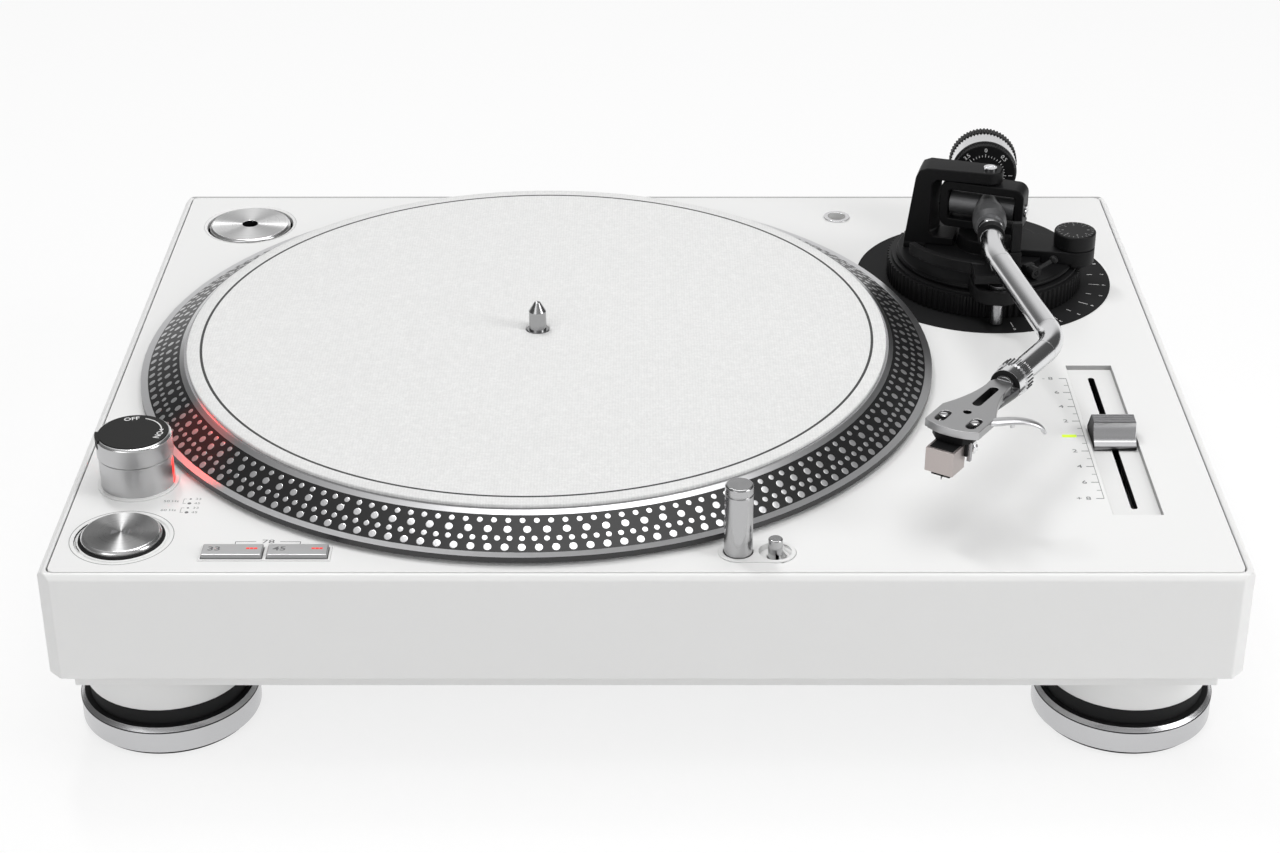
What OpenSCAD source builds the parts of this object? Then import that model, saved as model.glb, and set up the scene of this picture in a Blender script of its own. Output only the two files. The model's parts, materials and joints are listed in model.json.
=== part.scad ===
// A direct-drive deck for mixing records, with a pitch slider and an S-shaped tonearm.
// Millimetres. Z is up and the floor is at Z 0; X runs to the right and Y runs to the back.

/* [Deck] */
// Distance from the platter to the deck's left side
side_margin = 11.3; // [10.5:0.1:30]
// Distance from the platter to the deck's front and back
front_margin = 8; // [7.5:0.1:20]
// Distance from the arm's pivot to the deck's right side
arm_margin = 70.7; // [66:0.1:90]
// Height of the body's sides
body_h = 45; // [42:0.5:60]
// Thickness of the body's walls
body_wall = 4; // [3.5:0.25:5]
// Cut across the upright corners
corner_cut = 5; // [2:0.5:8]
// Cut along the top edges
edge_cut = 2; // [1:0.25:2.5]
// Width of the rim around the top plate
rim_w = 3.4; // [3:0.1:4]
// Gap of the seam around the top plate
seam = 0.4; // [0.2:0.1:0.8]
// Thickness of the top plate
plate_t = 3; // [2.5:0.25:4]
// Corner radius of the top plate
plate_corner_r = 3; // [1:0.5:8]
// Width of the ledge that carries the top plate
ledge_w = 4; // [2:0.5:5]
// Thickness of the ledge
ledge_t = 4; // [2:0.5:6]
// Distance of the fixing posts from the middle, sideways
post_x = 62; // [58:1:66]
// Distance of the fixing posts from the front and back
post_in = 19; // [17:0.5:22]
// Width of a fixing post
post_w = 12; // [10:0.5:16]
// Height of a fixing post
post_h = 34; // [20:1:35]

/* [Base] */
// Height of the recessed tray below the body
tray_h = 8; // [5:0.5:12]
// How far the tray is set in from the body's sides
tray_inset = 8; // [6:0.5:14]
// Thickness of the tray's floor and walls
tray_t = 3; // [2:0.25:4]
// Thickness of the tray's flange inside the body
flange_t = 3; // [2:0.25:4]
// Height of a foot boss below the tray
boss_h = 15.7; // [12:0.1:22]
// Radius of a foot boss at its lower end
boss_low_r = 32; // [31.5:0.25:33.5]
// Radius of a foot boss at its upper end
boss_top_r = 35.5; // [34:0.25:35.5]
// Distance of the feet from the sides
foot_in_x = 35.7; // [35.6:0.1:60]
// Distance of the feet from the front and back
foot_in_y = 45.2; // [36:0.1:60]
// Radius of a base screw's shank
screw_r = 1.8; // [1.5:0.1:2.2]
// Length of a base screw's shank
screw_len = 22; // [18:0.5:30]
// Radius of a base screw's head
screw_head_r = 3.6; // [3:0.1:4.5]

/* [Feet] */
// Height of a foot below its damper
foot_h = 12.5; // [10:0.5:16]
// Radius of a foot
foot_r = 34.8; // [33:0.1:36]
// Radius of a foot's sole
sole_r = 33; // [28:0.5:33]
// Height of a foot's sole
sole_h = 1.9; // [1:0.1:3]
// Bevel around the top of a foot
foot_bevel = 1.6; // [0.5:0.1:2.5]
// Height of the rubber damper above a foot
damper_h = 6.8; // [5:0.1:9]
// Radius of the rubber damper
damper_r = 31; // [26:0.5:31.5]
// Radius of a foot's stud
stud_r = 5; // [4:0.25:7]
// Length of a foot's stud inside its boss
stud_len = 14; // [10:0.5:18]

/* [Platter] */
// Radius of the platter
platter_r = 166; // [160:0.5:170]
// Shift of the platter towards the back
platter_y = -0.8; // [-2:0.1:2]
// Gap between the deck and the platter
platter_gap = 1.5; // [1.2:0.1:3]
// Height of the platter's upright rim
platter_rim_h = 2.35; // [1.5:0.05:5]
// Width of the flat lip above the rim
platter_lip = 3; // [2:0.25:5]
// Height of the whole platter
platter_h = 11.7; // [10.5:0.1:15]
// Width of the platter's rim outside the mat's seat
rim_band = 18.5; // [16:0.1:24]
// Thickness of the platter's disc
platter_web = 4; // [3:0.25:4.5]
// Distance from the mat's seat edge to the hollow below
hollow_wall = 2.5; // [1.5:0.1:20]
// Radius of the platter's hub
hub_r = 16; // [12:0.5:20]
// Height of the hub below the disc
hub_h = 4; // [2:0.25:4.5]
// Distance from the mat to the edge of its seat
mat_edge = 1.1; // [0.5:0.1:6]
// Thickness of the slipmat
mat_t = 1.5; // [1:0.1:3]
// Radius of the spindle
spindle_r = 3.6; // [3.55:0.01:3.65]
// Extra radius of the spindle's shaft below the mat's top
spindle_step = 1; // [0.6:0.1:1.5]
// Height of the spindle above the mat
spindle_up = 12.7; // [10:0.1:16]
// Height of the spindle's tapered tip
spindle_tip_h = 4.5; // [2:0.1:6]

/* [Motor] */
// Radius of the hole for the motor in the top plate
motor_hole_r = 72; // [66:0.5:80]
// Width of the motor plate beyond its hole
motor_flange_w = 8; // [5:0.5:12]
// Thickness of the motor plate
motor_flange_t = 3; // [2:0.25:4]
// Radius of the motor's hub
motor_hub_r = 12; // [10:0.5:16]
// Outer radius of the spindle bearing
bearing_r = 7; // [6:0.25:9]
// Length of the spindle bearing
bearing_len = 36; // [26:0.5:40]
// Thickness of the bearing's closed end
bearing_end = 3; // [2:0.25:5]
// Inner radius of the coil ring
stator_in_r = 24; // [20:0.5:28]
// Outer radius of the coil ring
stator_out_r = 46; // [40:0.5:48]
// Height of the coil ring
stator_h = 7; // [4:0.25:9]
// Inner radius of the rotor magnet
magnet_in_r = 50; // [49:0.5:52]
// Outer radius of the rotor magnet
magnet_out_r = 61; // [56:0.5:65]
// Height of the rotor magnet
magnet_h = 7; // [4:0.25:10]

/* [Adaptor] */
// Distance of the adaptor from the left side
adaptor_in_x = 35.5; // [33:0.1:40]
// Distance of the adaptor from the back
adaptor_in_y = 35.3; // [33:0.1:40]
// Radius of the large-hole adaptor
adaptor_r = 18.9; // [18.5:0.05:19.2]
// Thickness of the adaptor
adaptor_t = 6.5; // [5:0.1:9]
// Bevel around the adaptor's top
adaptor_bevel = 0.9; // [0.4:0.1:1.5]
// Radius of the well that holds the adaptor
well_r = 21.5; // [20.5:0.1:23]
// Depth of the well
well_depth = 6; // [4:0.1:8]
// Wall of the well below the plate
well_wall = 2; // [1.5:0.25:3]

/* [Power switch] */
// Distance of the switch from the left side
power_in = 26.2; // [25:0.1:28]
// Gap between the platter and the pillar
pillar_gap = 3.3; // [2:0.1:6]
// Radius of the pillar
pillar_r = 14.2; // [12:0.1:15]
// Height of the pillar
pillar_h = 13.3; // [10:0.1:18]
// Radius of the pillar's foot ring
pillar_foot_r = 15.6; // [15.2:0.1:16]
// Thickness of the pillar's foot ring
pillar_foot_t = 0.8; // [0.4:0.1:1.2]
// Radius of the knob on the pillar
power_knob_r = 14.6; // [13:0.1:15.5]
// Height of the knob
power_knob_h = 8.4; // [6:0.1:12]
// Radius of the knob's stem
power_stem_r = 4; // [3:0.1:5]
// Length of the knob's stem
power_stem_len = 9; // [6:0.1:9.5]
// Width of the strobe window
window_w = 6; // [4:0.1:8]
// Height of the strobe window
window_h = 10.5; // [6:0.1:12]
// Depth of the strobe window behind the pillar's face
window_depth = 4; // [2:0.1:6]
// Direction of the strobe window, turned from the right
window_angle = 4; // [-20:1:40]

/* [Buttons] */
// Distance of the start button from the left side
start_in_x = 27.2; // [26:0.1:29]
// Distance of the start button from the front
start_in_y = 27.7; // [26:0.1:28]
// Radius of the start button
start_r = 15.1; // [13:0.1:15.5]
// Height of the start button above the plate
start_up = 2.6; // [2:0.1:4]
// Travel of the start button
start_travel = 1.5; // [0.8:0.1:1.8]
// Bevel around the start button
start_bevel = 1; // [0.4:0.1:1.4]
// Radius of the groove around the start button
start_groove_r = 17.6; // [17:0.1:18]
// Depth of the groove around the start button
start_groove_d = 0.8; // [0.4:0.1:1.2]
// Width of the flange that holds a button in
button_flange = 1.6; // [1:0.1:2]
// Thickness of the flange that holds a button in
button_flange_t = 2; // [1:0.1:3]
// Gap between the platter and the speed key bezel
keys_gap = 1.5; // [1:0.1:4]
// Distance of the speed key bezel from the front
keys_in = 16.2; // [15.5:0.1:17]
// Width of the speed key bezel
bezel_w = 48.8; // [46:0.1:49]
// Depth of the speed key bezel
bezel_d = 10.2; // [9:0.1:10.4]
// Wall of the speed key bezel
bezel_wall = 0.9; // [0.6:0.1:1.2]
// Height of the speed key bezel
bezel_h = 9; // [7:0.1:12]
// Height of the bezel above the plate
bezel_up = 0.3; // [0.2:0.1:0.6]
// Height of the speed keys above the plate
key_up = 2; // [1.5:0.1:3]
// Travel of a speed key
key_travel = 1.2; // [0.6:0.1:1.4]
// Gap between the two speed keys
key_gap = 1.9; // [1.2:0.1:3]

/* [Target lamp] */
// Gap between the platter and the lamp
lamp_gap = 3.7; // [3:0.1:8]
// Distance of the lamp from the front
lamp_in = 17.4; // [16.5:0.1:18]
// Radius of the lamp
lamp_r = 5.3; // [4.5:0.1:5.5]
// Height of the lamp above the plate when it is up
lamp_up = 29.1; // [24:0.1:32]
// Length of the lamp's tube
lamp_len = 49; // [44:0.1:52]
// Travel of the lamp
lamp_travel = 26; // [20:0.1:26]
// Height of the lamp's cap
lamp_cap_h = 3.4; // [2:0.1:5]
// Distance from the lamp to its release button
release_dx = 13.7; // [13.5:0.1:16]
// Radius of the release button
release_r = 2.7; // [2:0.1:3]
// Height of the release button above the plate
release_up = 6; // [4:0.1:8]
// Travel of the release button
release_travel = 2.5; // [1.5:0.1:3]
// Radius of the release button's recess
release_well_r = 6.1; // [5.5:0.1:6.2]
// Depth of the release button's recess
release_well_d = 2.5; // [1.5:0.1:3]
// Width of the lamp's base plate
lamp_plate_w = 15.2; // [14.6:0.1:15.4]
// Height of the lamp's base plate above the top plate
lamp_plate_up = 0.5; // [0.3:0.1:0.8]
// Wall of the lamp's guide sleeve
guide_wall = 1.6; // [1.2:0.1:1.8]
// Length of the lamp's guide sleeve below the top plate
guide_len = 14; // [8:0.5:20]

/* [Tempo slider] */
// Distance of the slider from the right side
tempo_in_x = 36.4; // [33:0.1:40]
// Distance of the slider's middle from the front
tempo_in_y = 106; // [102:0.1:110]
// Width of the slider's recess
tempo_w = 19; // [18:0.1:22]
// Length of the slider's recess
tempo_len = 123; // [121:0.1:130]
// Depth of the slider's recess
tempo_depth = 2; // [1:0.1:2.5]
// Width of the flange under the plate
tempo_flange = 3; // [2:0.1:4]
// Thickness of the slider's bed
tempo_bed_t = 4; // [3.5:0.1:6]
// Width of the slot
slot_w = 2.5; // [2:0.1:4]
// Half of the slider's travel
tempo_travel = 50; // [40:0.5:50]
// Width of the slider's knob
tempo_knob_w = 17; // [14:0.1:17.4]
// Length of the slider's knob at its base
tempo_knob_len = 18.4; // [16:0.1:20]
// Length of the ridge on the slider's knob
tempo_ridge_len = 7; // [4:0.1:10]
// Height of the slider's knob
tempo_knob_h = 9.6; // [7:0.1:12]
// Length of the knob's stem along the slot
tempo_stem_len = 6; // [4:0.1:8]
// Thickness of the carriage under the bed
carriage_t = 3; // [2:0.1:5]
// Width of the carriage under the bed
carriage_w = 12; // [8:0.1:16]
// Length of the tempo lamp
led_len = 5.6; // [4:0.1:7]
// Width of the tempo lamp
led_w = 1.8; // [1.2:0.1:2.5]
// Distance from the tempo lamp to the recess
led_gap = 4.8; // [3.5:0.1:6]

/* [Headshell socket] */
// Distance of the socket from the right side
socket_in_x = 132.4; // [128:0.1:136]
// Distance of the socket from the back
socket_in_y = 27.2; // [24:0.1:30]
// Radius of the socket's collar
socket_collar_r = 6.2; // [6:0.1:7.5]
// Height of the socket's collar
socket_collar_h = 0.7; // [0.4:0.1:1.2]
// Radius of the socket's bore
socket_bore_r = 4.1; // [4:0.05:4.3]
// Wall of the socket's sleeve
socket_wall = 1.4; // [1:0.1:1.6]
// Depth of the socket
socket_depth = 13; // [10:0.5:18]

/* [Arm base] */
// Gap between the platter and the height ring
arm_gap = 4.6; // [4:0.1:10]
// Direction of the pivot from the spindle, turned from the right
pivot_angle = 22.3; // [20:0.1:25]
// Radius of the printed scale disc
scale_r = 56.9; // [54:0.1:58]
// Thickness of the printed scale disc
scale_t = 0.5; // [0.3:0.1:0.8]
// Radius of the height ring
ring_r = 43.5; // [42:0.1:44.5]
// Height of the height ring
ring_h = 10.6; // [8:0.1:12]
// Depth of the height ring's ribs
ring_rib = 0.8; // [0.4:0.1:1.2]
// Number of ribs around the height ring
ring_ribs = 96; // [48:4:120]
// Running gap under and over the height ring
ring_gap = 0.4; // [0.3:0.1:0.6]
// Radius of the arm base's column
column_r = 30; // [26:0.5:34]
// Length of the arm base's column below the height ring
column_low = 15; // [12:0.5:20]
// Radius of the arm base's disc
base_disc_r = 39.5; // [38:0.1:40]
// Thickness of the arm base's disc
base_disc_t = 2.1; // [1.5:0.1:4]
// Radius of the raised step
step_r = 27; // [24:0.5:27.5]
// Height of the raised step
step_h = 2.5; // [1.5:0.1:3]
// Radius of the lower pivot housing
housing_r = 12.5; // [10:0.5:13.5]
// Height of the lower pivot housing
housing_h = 6; // [4:0.1:7]
// Distance from the pivot to the lift cylinder
lift_reach = 48.5; // [48:0.1:50]
// Radius of the cup around the lift cylinder
cup_r = 11.5; // [10:0.1:12]
// Distance from the lift cylinder back to the cup's centre
cup_back = 4; // [3:0.1:5]
// Height of the cup
cup_h = 6.2; // [5:0.1:8]
// Wall of the cup
cup_wall = 2.2; // [1.5:0.1:3]
// Radius of the lift cylinder
lift_r = 2.6; // [2.4:0.1:3]
// Radius of the lift cylinder's head
lift_head_r = 4.4; // [3.5:0.1:5]
// Radius of the lift rod
rod_r = 1.6; // [1.2:0.1:1.8]
// Length of the lift rod below the lifter
rod_len = 14; // [10:0.5:16]
// Radius of the lifter's arc
lifter_r = 39.2; // [38.9:0.1:40]
// Thickness of the lifter's arc
lifter_t = 3; // [2.4:0.1:3.2]
// Height of the lifter's arc
lifter_h = 5; // [4:0.1:6]
// Height of the lifter's top above the base disc
lifter_up = 11.6; // [11:0.1:12]
// Rise of the lifter
lifter_travel = 3.2; // [2:0.1:3.2]
// Direction of the lifter's left end
lifter_from = 207; // [200:1:220]
// Direction of the lifter's right end
lifter_to = 262; // [258:1:266]

/* [Gimbal] */
// Height of the arm's tilt axis above the deck
pivot_up = 35.3; // [34.5:0.1:38]
// Turn of the gimbal about the upright axis
gimbal_yaw = -20; // [-26:1:-14]
// Reach of the gimbal frame to the left of the pivot
gimbal_left = 20.8; // [19:0.1:21.5]
// Reach of the gimbal frame to the right of the pivot
gimbal_right = 17; // [16:0.1:20]
// Height of the gimbal frame above the axis
gimbal_over = 11.5; // [10.5:0.1:12]
// Depth of the gimbal frame below the axis
gimbal_under = 10.3; // [9.5:0.1:11]
// Thickness of the gimbal frame's bars
gimbal_bar = 4; // [3:0.1:4.5]
// Depth of the gimbal frame, front to back
gimbal_d = 11; // [8:0.1:12]
// Corner radius of the gimbal frame
gimbal_corner = 4.5; // [2:0.1:6]
// Radius of the gimbal's pivot pins
pin_r = 1.6; // [1.2:0.1:2]
// Radius of the pivot screws' heads
pin_head_r = 2.9; // [2.4:0.1:3.4]
// Thickness of the pivot screws' heads
pin_head_t = 0.9; // [0.5:0.1:1.4]
// Length of a tilt pin inside the axle
pin_reach = 5; // [3:0.1:6]
// Turn of the arch about the upright axis
arch_yaw = -15; // [-20:1:-10]
// Reach of the arch's leg at its foot
arch_foot = 36; // [34:0.1:37]
// Reach of the arch's leg at its top
arch_reach = 32; // [30:0.1:33]
// Inner face of the arch's leg
arch_inner = 24.5; // [23.5:0.1:26]
// Thickness of the arch's beam
arch_beam = 5.4; // [4:0.1:7]
// Gap between the gimbal and the arch's beam
arch_gap = 0.8; // [0.5:0.1:1.5]
// Depth of the arch at the leg
arch_d = 14; // [12:0.1:16]
// Radius of the arch's rounded end
arch_end_r = 6; // [5:0.1:7]
// Height of the arch's foot bar
arch_bar_h = 4; // [3:0.1:5]

/* [Arm fittings] */
// Anti-skate knob from the pivot, sideways
skate_dx = 38.7; // [37:0.1:40]
// Anti-skate knob from the pivot, front to back
skate_dy = -7.7; // [-9:0.1:-6]
// Radius of the anti-skate knob
skate_r = 9.2; // [8:0.1:10]
// Height of the anti-skate knob
skate_h = 7; // [5:0.1:9]
// Radius of the anti-skate knob's stem
skate_stem_r = 2.5; // [2:0.1:3]
// Thickness of the anti-skate bracket
bracket_t = 5.6; // [4:0.1:7]
// Width of the anti-skate bracket at the arm base
bracket_w = 20; // [18:0.1:22]
// Distance from the pivot to the bracket's inner end
bracket_in = 14.5; // [14:0.1:17]
// Distance from the pivot to the arm rest, sideways
rest_dx = 6.2; // [6:0.1:8]
// Arm rest from the pivot, front to back
rest_dy = -31.5; // [-32:0.1:-31]
// Width of the arm rest's post
rest_w = 5; // [4:0.1:6]
// Height of the arm rest's shelf above the base disc
rest_up = 13.6; // [12:0.1:14]
// Thickness of the arm rest's shelf
rest_t = 3; // [2:0.1:4]
// Reach of the arm rest's shelf to the left
rest_reach = 12; // [8:0.1:14]
// Height of the arm clamp above the shelf
clamp_h = 15; // [10:0.1:16]
// Thickness of the arm clamp
clamp_t = 3; // [2:0.1:4]
// Radius of the arm clamp's pin
clamp_pin_r = 1; // [0.8:0.1:1.2]
// Distance from the pivot to the cue lever, sideways
cue_dx = 16.8; // [16:0.1:18]
// Cue lever from the pivot, front to back
cue_dy = -28.5; // [-29:0.1:-27.5]
// Direction of the cue lever
cue_angle = 29; // [20:1:36]
// Length of the cue lever
cue_len = 11; // [8:0.1:13]
// Radius of the cue lever's hub
cue_hub_r = 2.6; // [2.2:0.1:3]
// Width of the cue lever's hub
cue_hub_w = 4; // [3:0.1:5]
// Radius of the cue lever's pin
cue_pin_r = 1; // [0.8:0.1:1.2]
// Radius of the cue lever's ball
cue_ball_r = 1.9; // [1.5:0.1:2.5]

/* [Tonearm] */
// Turn of the arm's axis about the upright axis
arm_yaw = -4.5; // [-7:0.5:-2]
// Upward slope of the parked arm
arm_lift = 1.6; // [1.4:0.1:2]
// Radius of the tilt axle
axle_r = 5.2; // [4.5:0.1:6]
// Greatest radius of the tube holder
holder_r = 7.4; // [7:0.1:8]
// Length of the tube holder in front of the pivot
holder_len = 25; // [22:0.1:26]
// Length of the tube holder behind the pivot
holder_back = 9; // [7:0.1:11]
// Radius of the ball joint behind the tube
ball_r = 5.5; // [5.2:0.1:6]
// Radius of the tube
tube_r = 4.8; // [4.4:0.1:5.1]
// Wall of the tube
tube_wall = 0.8; // [0.5:0.1:1.2]
// Length of the tube's first straight run, from the pivot
tube_run1 = 38; // [34:0.5:42]
// Radius of the tube's first bend
bend1_r = 115; // [100:1:130]
// Angle of the tube's first bend
bend1_angle = 13.3; // [10:0.1:16]
// Length of the tube's middle run
tube_run2 = 66.5; // [60:0.5:70]
// Radius of the tube's second bend
bend2_r = 30; // [24:0.5:36]
// Angle of the tube's second bend
bend2_angle = 41.3; // [38:0.1:44]
// Length of the tube's last run, to the collar's front
tube_run3 = 36; // [32:0.5:40]
// Length of the locking collar
collar_len = 11; // [9:0.1:14]
// Radius of the locking collar
collar_r = 7; // [6.6:0.1:7.8]
// Radius of the locking collar's plain front
collar_front_r = 6.3; // [6:0.1:6.6]
// Length of the locking collar's ribbed part
collar_grip = 5; // [3:0.1:7]
// Number of ribs around the locking collar
collar_ribs = 28; // [16:2:40]

/* [Headshell] */
// Length of the headshell
shell_len = 49; // [46:0.1:54]
// Width of the headshell's neck
neck_w = 12.6; // [11:0.1:13.5]
// Length of the headshell's neck
neck_len = 14; // [10:0.1:18]
// Width of the headshell's plate
shell_w = 22; // [20:0.1:25]
// Length of the headshell's plate
shell_plate_len = 21; // [20:0.1:26]
// Thickness of the headshell's plate
shell_t = 3.2; // [2.5:0.1:4]
// Height of the headshell's top above the tube's axis
shell_up = 2.6; // [1.5:0.1:3]
// Height of the headshell's plate above its neck
neck_step = 2; // [0:0.1:2.5]
// Radius of the headshell's plug
plug_r = 3.9; // [3.8:0.05:3.95]
// Length of the headshell's plug
plug_len = 9; // [8:0.1:10]
// Width of the long slot in the headshell
shell_slot_w = 3.4; // [2:0.1:5]
// Length of the long slot in the headshell
shell_slot_len = 18; // [14:0.1:18.5]
// Distance between the cartridge screws
cart_pitch = 12.7; // [12.5:0.05:12.9]
// Length of a cartridge screw's slot
cart_slot_len = 9; // [7:0.1:10]
// Width of a cartridge screw's slot
cart_slot_w = 4; // [3:0.1:4.4]
// Distance from the collar to the stylus
stylus_reach = 52; // [50:0.1:53]
// Depth of the stylus tip below the tube's axis
stylus_drop = 17.6; // [17:0.1:18]
// Width of the cartridge's mount
cart_w = 16.6; // [16.4:0.1:18]
// Length of the cartridge's mount
cart_len = 13; // [12:0.1:15]
// Height of the cartridge's mount
cart_h = 6; // [5:0.1:7]
// Width of the stylus housing
stylus_w = 11.4; // [10:0.1:13]
// Length of the stylus housing
stylus_len = 10; // [8:0.1:12]
// Thickness of the finger lift
lift_t = 1.4; // [1:0.1:2]
// Width of the finger lift
lift_w = 3; // [2:0.1:4]

/* [Counterweight] */
// Radius of the rear shaft
shaft_r = 4.5; // [4:0.1:5]
// Distance from the pivot to the rear shaft's end
shaft_end = 64; // [62:0.5:70]
// Distance from the pivot to the pressure dial
dial_from = 37.5; // [36.5:0.1:40]
// Thickness of the pressure dial
dial_t = 3.4; // [2.5:0.1:5]
// Radius of the pressure dial
dial_r = 14; // [12:0.1:14.5]
// Radius of the counterweight's sleeve
sleeve_r = 8; // [7:0.1:9]
// Length of the counterweight
weight_len = 15.5; // [14:0.1:18]
// Radius of the counterweight's band
weight_r = 15; // [14:0.1:15.2]
// Radius of the counterweight's ribbed grip
grip_r = 15.6; // [15:0.1:16]
// Length of the counterweight's ribbed grip
grip_len = 5.5; // [4:0.1:8]
// Number of ribs around the counterweight's grip
grip_ribs = 60; // [30:2:80]

/* [Electronics] */
// Width of the rear socket bay
bay_w = 92; // [80:1:110]
// Height of the rear socket bay
bay_h = 24; // [22:0.5:26]
// Depth of the rear socket bay
bay_depth = 16; // [14:0.5:18]
// Thickness of the rear panel
panel_t = 2; // [1.5:0.1:3]
// Radius of an output jack
jack_r = 4.15; // [4.1:0.01:4.2]
// Length of an output jack
jack_len = 9.5; // [8:0.1:11]
// Distance between the output jacks
jack_pitch = 16; // [14:0.5:20]
// Width of the power inlet
inlet_w = 30; // [28:0.5:34]
// Height of the power inlet
inlet_h = 21; // [20:0.5:22]
// Length of the power inlet
inlet_len = 13; // [12.5:0.1:13.5]
// Wall of the power inlet
inlet_wall = 2; // [1.5:0.1:2.5]
// Width of the circuit board
board_w = 130; // [100:1:150]
// Depth of the circuit board
board_d = 84; // [60:1:90]
// Thickness of the circuit board
board_t = 1.6; // [1.2:0.1:2]
// Height of the board's standoffs
standoff_h = 7; // [5:0.5:12]

/* [Clearances] */
// Radial clearance of a running shaft
run_gap = 0.05; // [0.03:0.01:0.1]
// Clearance between parts that move past each other
slide_gap = 0.3; // [0.3:0.05:0.4]

/* [Hidden] */
$fn = 64;
overlap = 1;
pivot_span = platter_r + arm_gap + ring_r;
deck_w = side_margin + platter_r + pivot_span * cos(pivot_angle) + arm_margin;
deck_d = 2 * (platter_r + front_margin);
foot_top = foot_h;
boss_z = foot_top + damper_h;
tray_z = boss_z + boss_h;
body_z = tray_z + tray_h;
deck_top = body_z + body_h;
plate_under = deck_top - plate_t;
ledge_under = plate_under - ledge_t;
tray_floor = tray_z + tray_t;
flange_top = body_z + flange_t;
back_y = deck_d / 2;
right_x = deck_w / 2;
post_y = back_y - post_in;
foot_x = right_x - foot_in_x;
foot_y = back_y - foot_in_y;
FEET = [[-foot_x, -foot_y], [foot_x, -foot_y], [-foot_x, foot_y], [foot_x, foot_y]];
POSTS = [[-post_x, -post_y], [post_x, -post_y], [-post_x, post_y], [post_x, post_y]];

platter_x = -right_x + side_margin + platter_r;
platter_seat_r = platter_r - rim_band;
platter_hollow_r = platter_seat_r - hollow_wall;
mat_r = platter_seat_r - mat_edge;
platter_z = deck_top + platter_gap;
platter_top = platter_z + platter_h;
mat_top = platter_top + mat_t;
shaft_low_r = spindle_r + spindle_step;
lip_h = 0.35;
seat_lip_h = 1.15;
seat_lip = 1.9;
web_under = platter_top - platter_web;
bearing_top = plate_under + bearing_end + overlap;
bearing_low = bearing_top - bearing_len;
motor_under = plate_under - motor_flange_t;

adaptor_x = -right_x + adaptor_in_x;
adaptor_y = back_y - adaptor_in_y;
power_x = -right_x + power_in;
power_y = platter_y - beside_platter(pillar_r + pillar_gap, power_x - platter_x);
start_x = -right_x + start_in_x;
start_y = -back_y + start_in_y;
keys_y = -back_y + keys_in;
keys_x = platter_x - beside_platter(keys_gap, keys_y + bezel_d / 2 - platter_y) - bezel_w / 2;
lamp_y = -back_y + lamp_in;
lamp_x = platter_x + beside_platter(lamp_r + lamp_gap, lamp_y - platter_y);
tempo_x = right_x - tempo_in_x;
tempo_y = -back_y + tempo_in_y;
socket_x = right_x - socket_in_x;
socket_y = back_y - socket_in_y;
power_top = deck_top + pillar_h;
knob_low = power_top + slide_gap;
key_w = (bezel_w - 2 * bezel_wall - 2 * slide_gap - key_gap) / 2;
key_d = bezel_d - 2 * bezel_wall - 2 * slide_gap;
bezel_low = deck_top + bezel_up - bezel_h;
lamp_plate_top = deck_top + lamp_plate_up;
guide_r = lamp_r + slide_gap + guide_wall;
release_cup_r = release_well_r + guide_wall;
release_floor = lamp_plate_top - release_well_d;
release_cup_low = release_floor - guide_wall;
tempo_floor = deck_top - tempo_depth;
bed_under = tempo_floor - tempo_bed_t;
slot_len = 2 * tempo_travel + tempo_stem_len + 2;

pivot_x = platter_x + pivot_span * cos(pivot_angle);
pivot_y = platter_y + pivot_span * sin(pivot_angle);
ring_low = deck_top + scale_t + ring_gap;
ring_top = ring_low + ring_h;
disc_low = ring_top + ring_gap;
disc_top = disc_low + base_disc_t;
step_top = disc_top + step_h;
housing_top = step_top + housing_h;
column_bottom = ring_low - column_low;
cup_low = disc_low + 0.7;
cup_floor = cup_low + cup_wall;
lift_bottom = deck_top + scale_t + 0.8;
lifter_top = disc_top + lifter_up;
lifter_low = lifter_top - lifter_h;
lift_top = lifter_low - 0.4;
pivot_z = deck_top + pivot_up;
gimbal_top = pivot_z + gimbal_over;
gimbal_low = pivot_z - gimbal_under;
beam_low = gimbal_top + arch_gap;
arch_top = beam_low + arch_beam;
bar_top = step_top + arch_bar_h;
skate_angle = atan2(skate_dy, skate_dx);
skate_reach = norm([skate_dx, skate_dy]);
bracket_top = disc_top + bracket_t;
shelf_top = disc_top + rest_up;
clamp_z = shelf_top - rest_t / 2;
cue_z = disc_top + cue_hub_r + slide_gap;
axle_left = gimbal_left - gimbal_bar - 0.4;
axle_right = gimbal_right - gimbal_bar - 0.4;
weight_from = dial_from + dial_t + slide_gap;
weight_to = weight_from + weight_len;
shell_plate_from = shell_len - shell_plate_len;
plate_low = shell_up - shell_t;

bay_z = body_z + body_h / 2;
bay_y = back_y - bay_depth;
inlet_x = -bay_w / 2 + inlet_w / 2 + 4;
jack_x = bay_w / 2 - 12;
board_x = 70;
board_y = -62;

white = [0.93, 0.93, 0.92];
black = [0.08, 0.08, 0.085];
steel = [0.72, 0.72, 0.73];

// Distance across the platter to a point outside its edge
function beside_platter(outside, along) = sqrt(pow(platter_r + outside, 2) - pow(along, 2));

// Shapes that repeat

// A flat rectangle with true round corners, centred
module rounded_rect(w, d, r) {
  square([w - 2 * r, d], center = true);
  square([w, d - 2 * r], center = true);
  for (x = [-1, 1], y = [-1, 1]) translate([x * (w / 2 - r), y * (d / 2 - r)]) circle(r = r);
}

// A slot with round ends along X, by its full length
module stadium(length, width) {
  square([length - width, width], center = true);
  for (x = [-1, 1]) translate([x * (length - width) / 2, 0]) circle(d = width);
}

// A ribbed disc: straight ribs around its edge
module ribbed_disc(r, rib, ribs, h) {
  linear_extrude(h) polygon([for (i = [0 : 4 * ribs - 1])
    let (a = (i + 0.5) * 90 / ribs, s = i % 4 < 2 ? r : r - rib) [s * cos(a), s * sin(a)]]);
}

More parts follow.
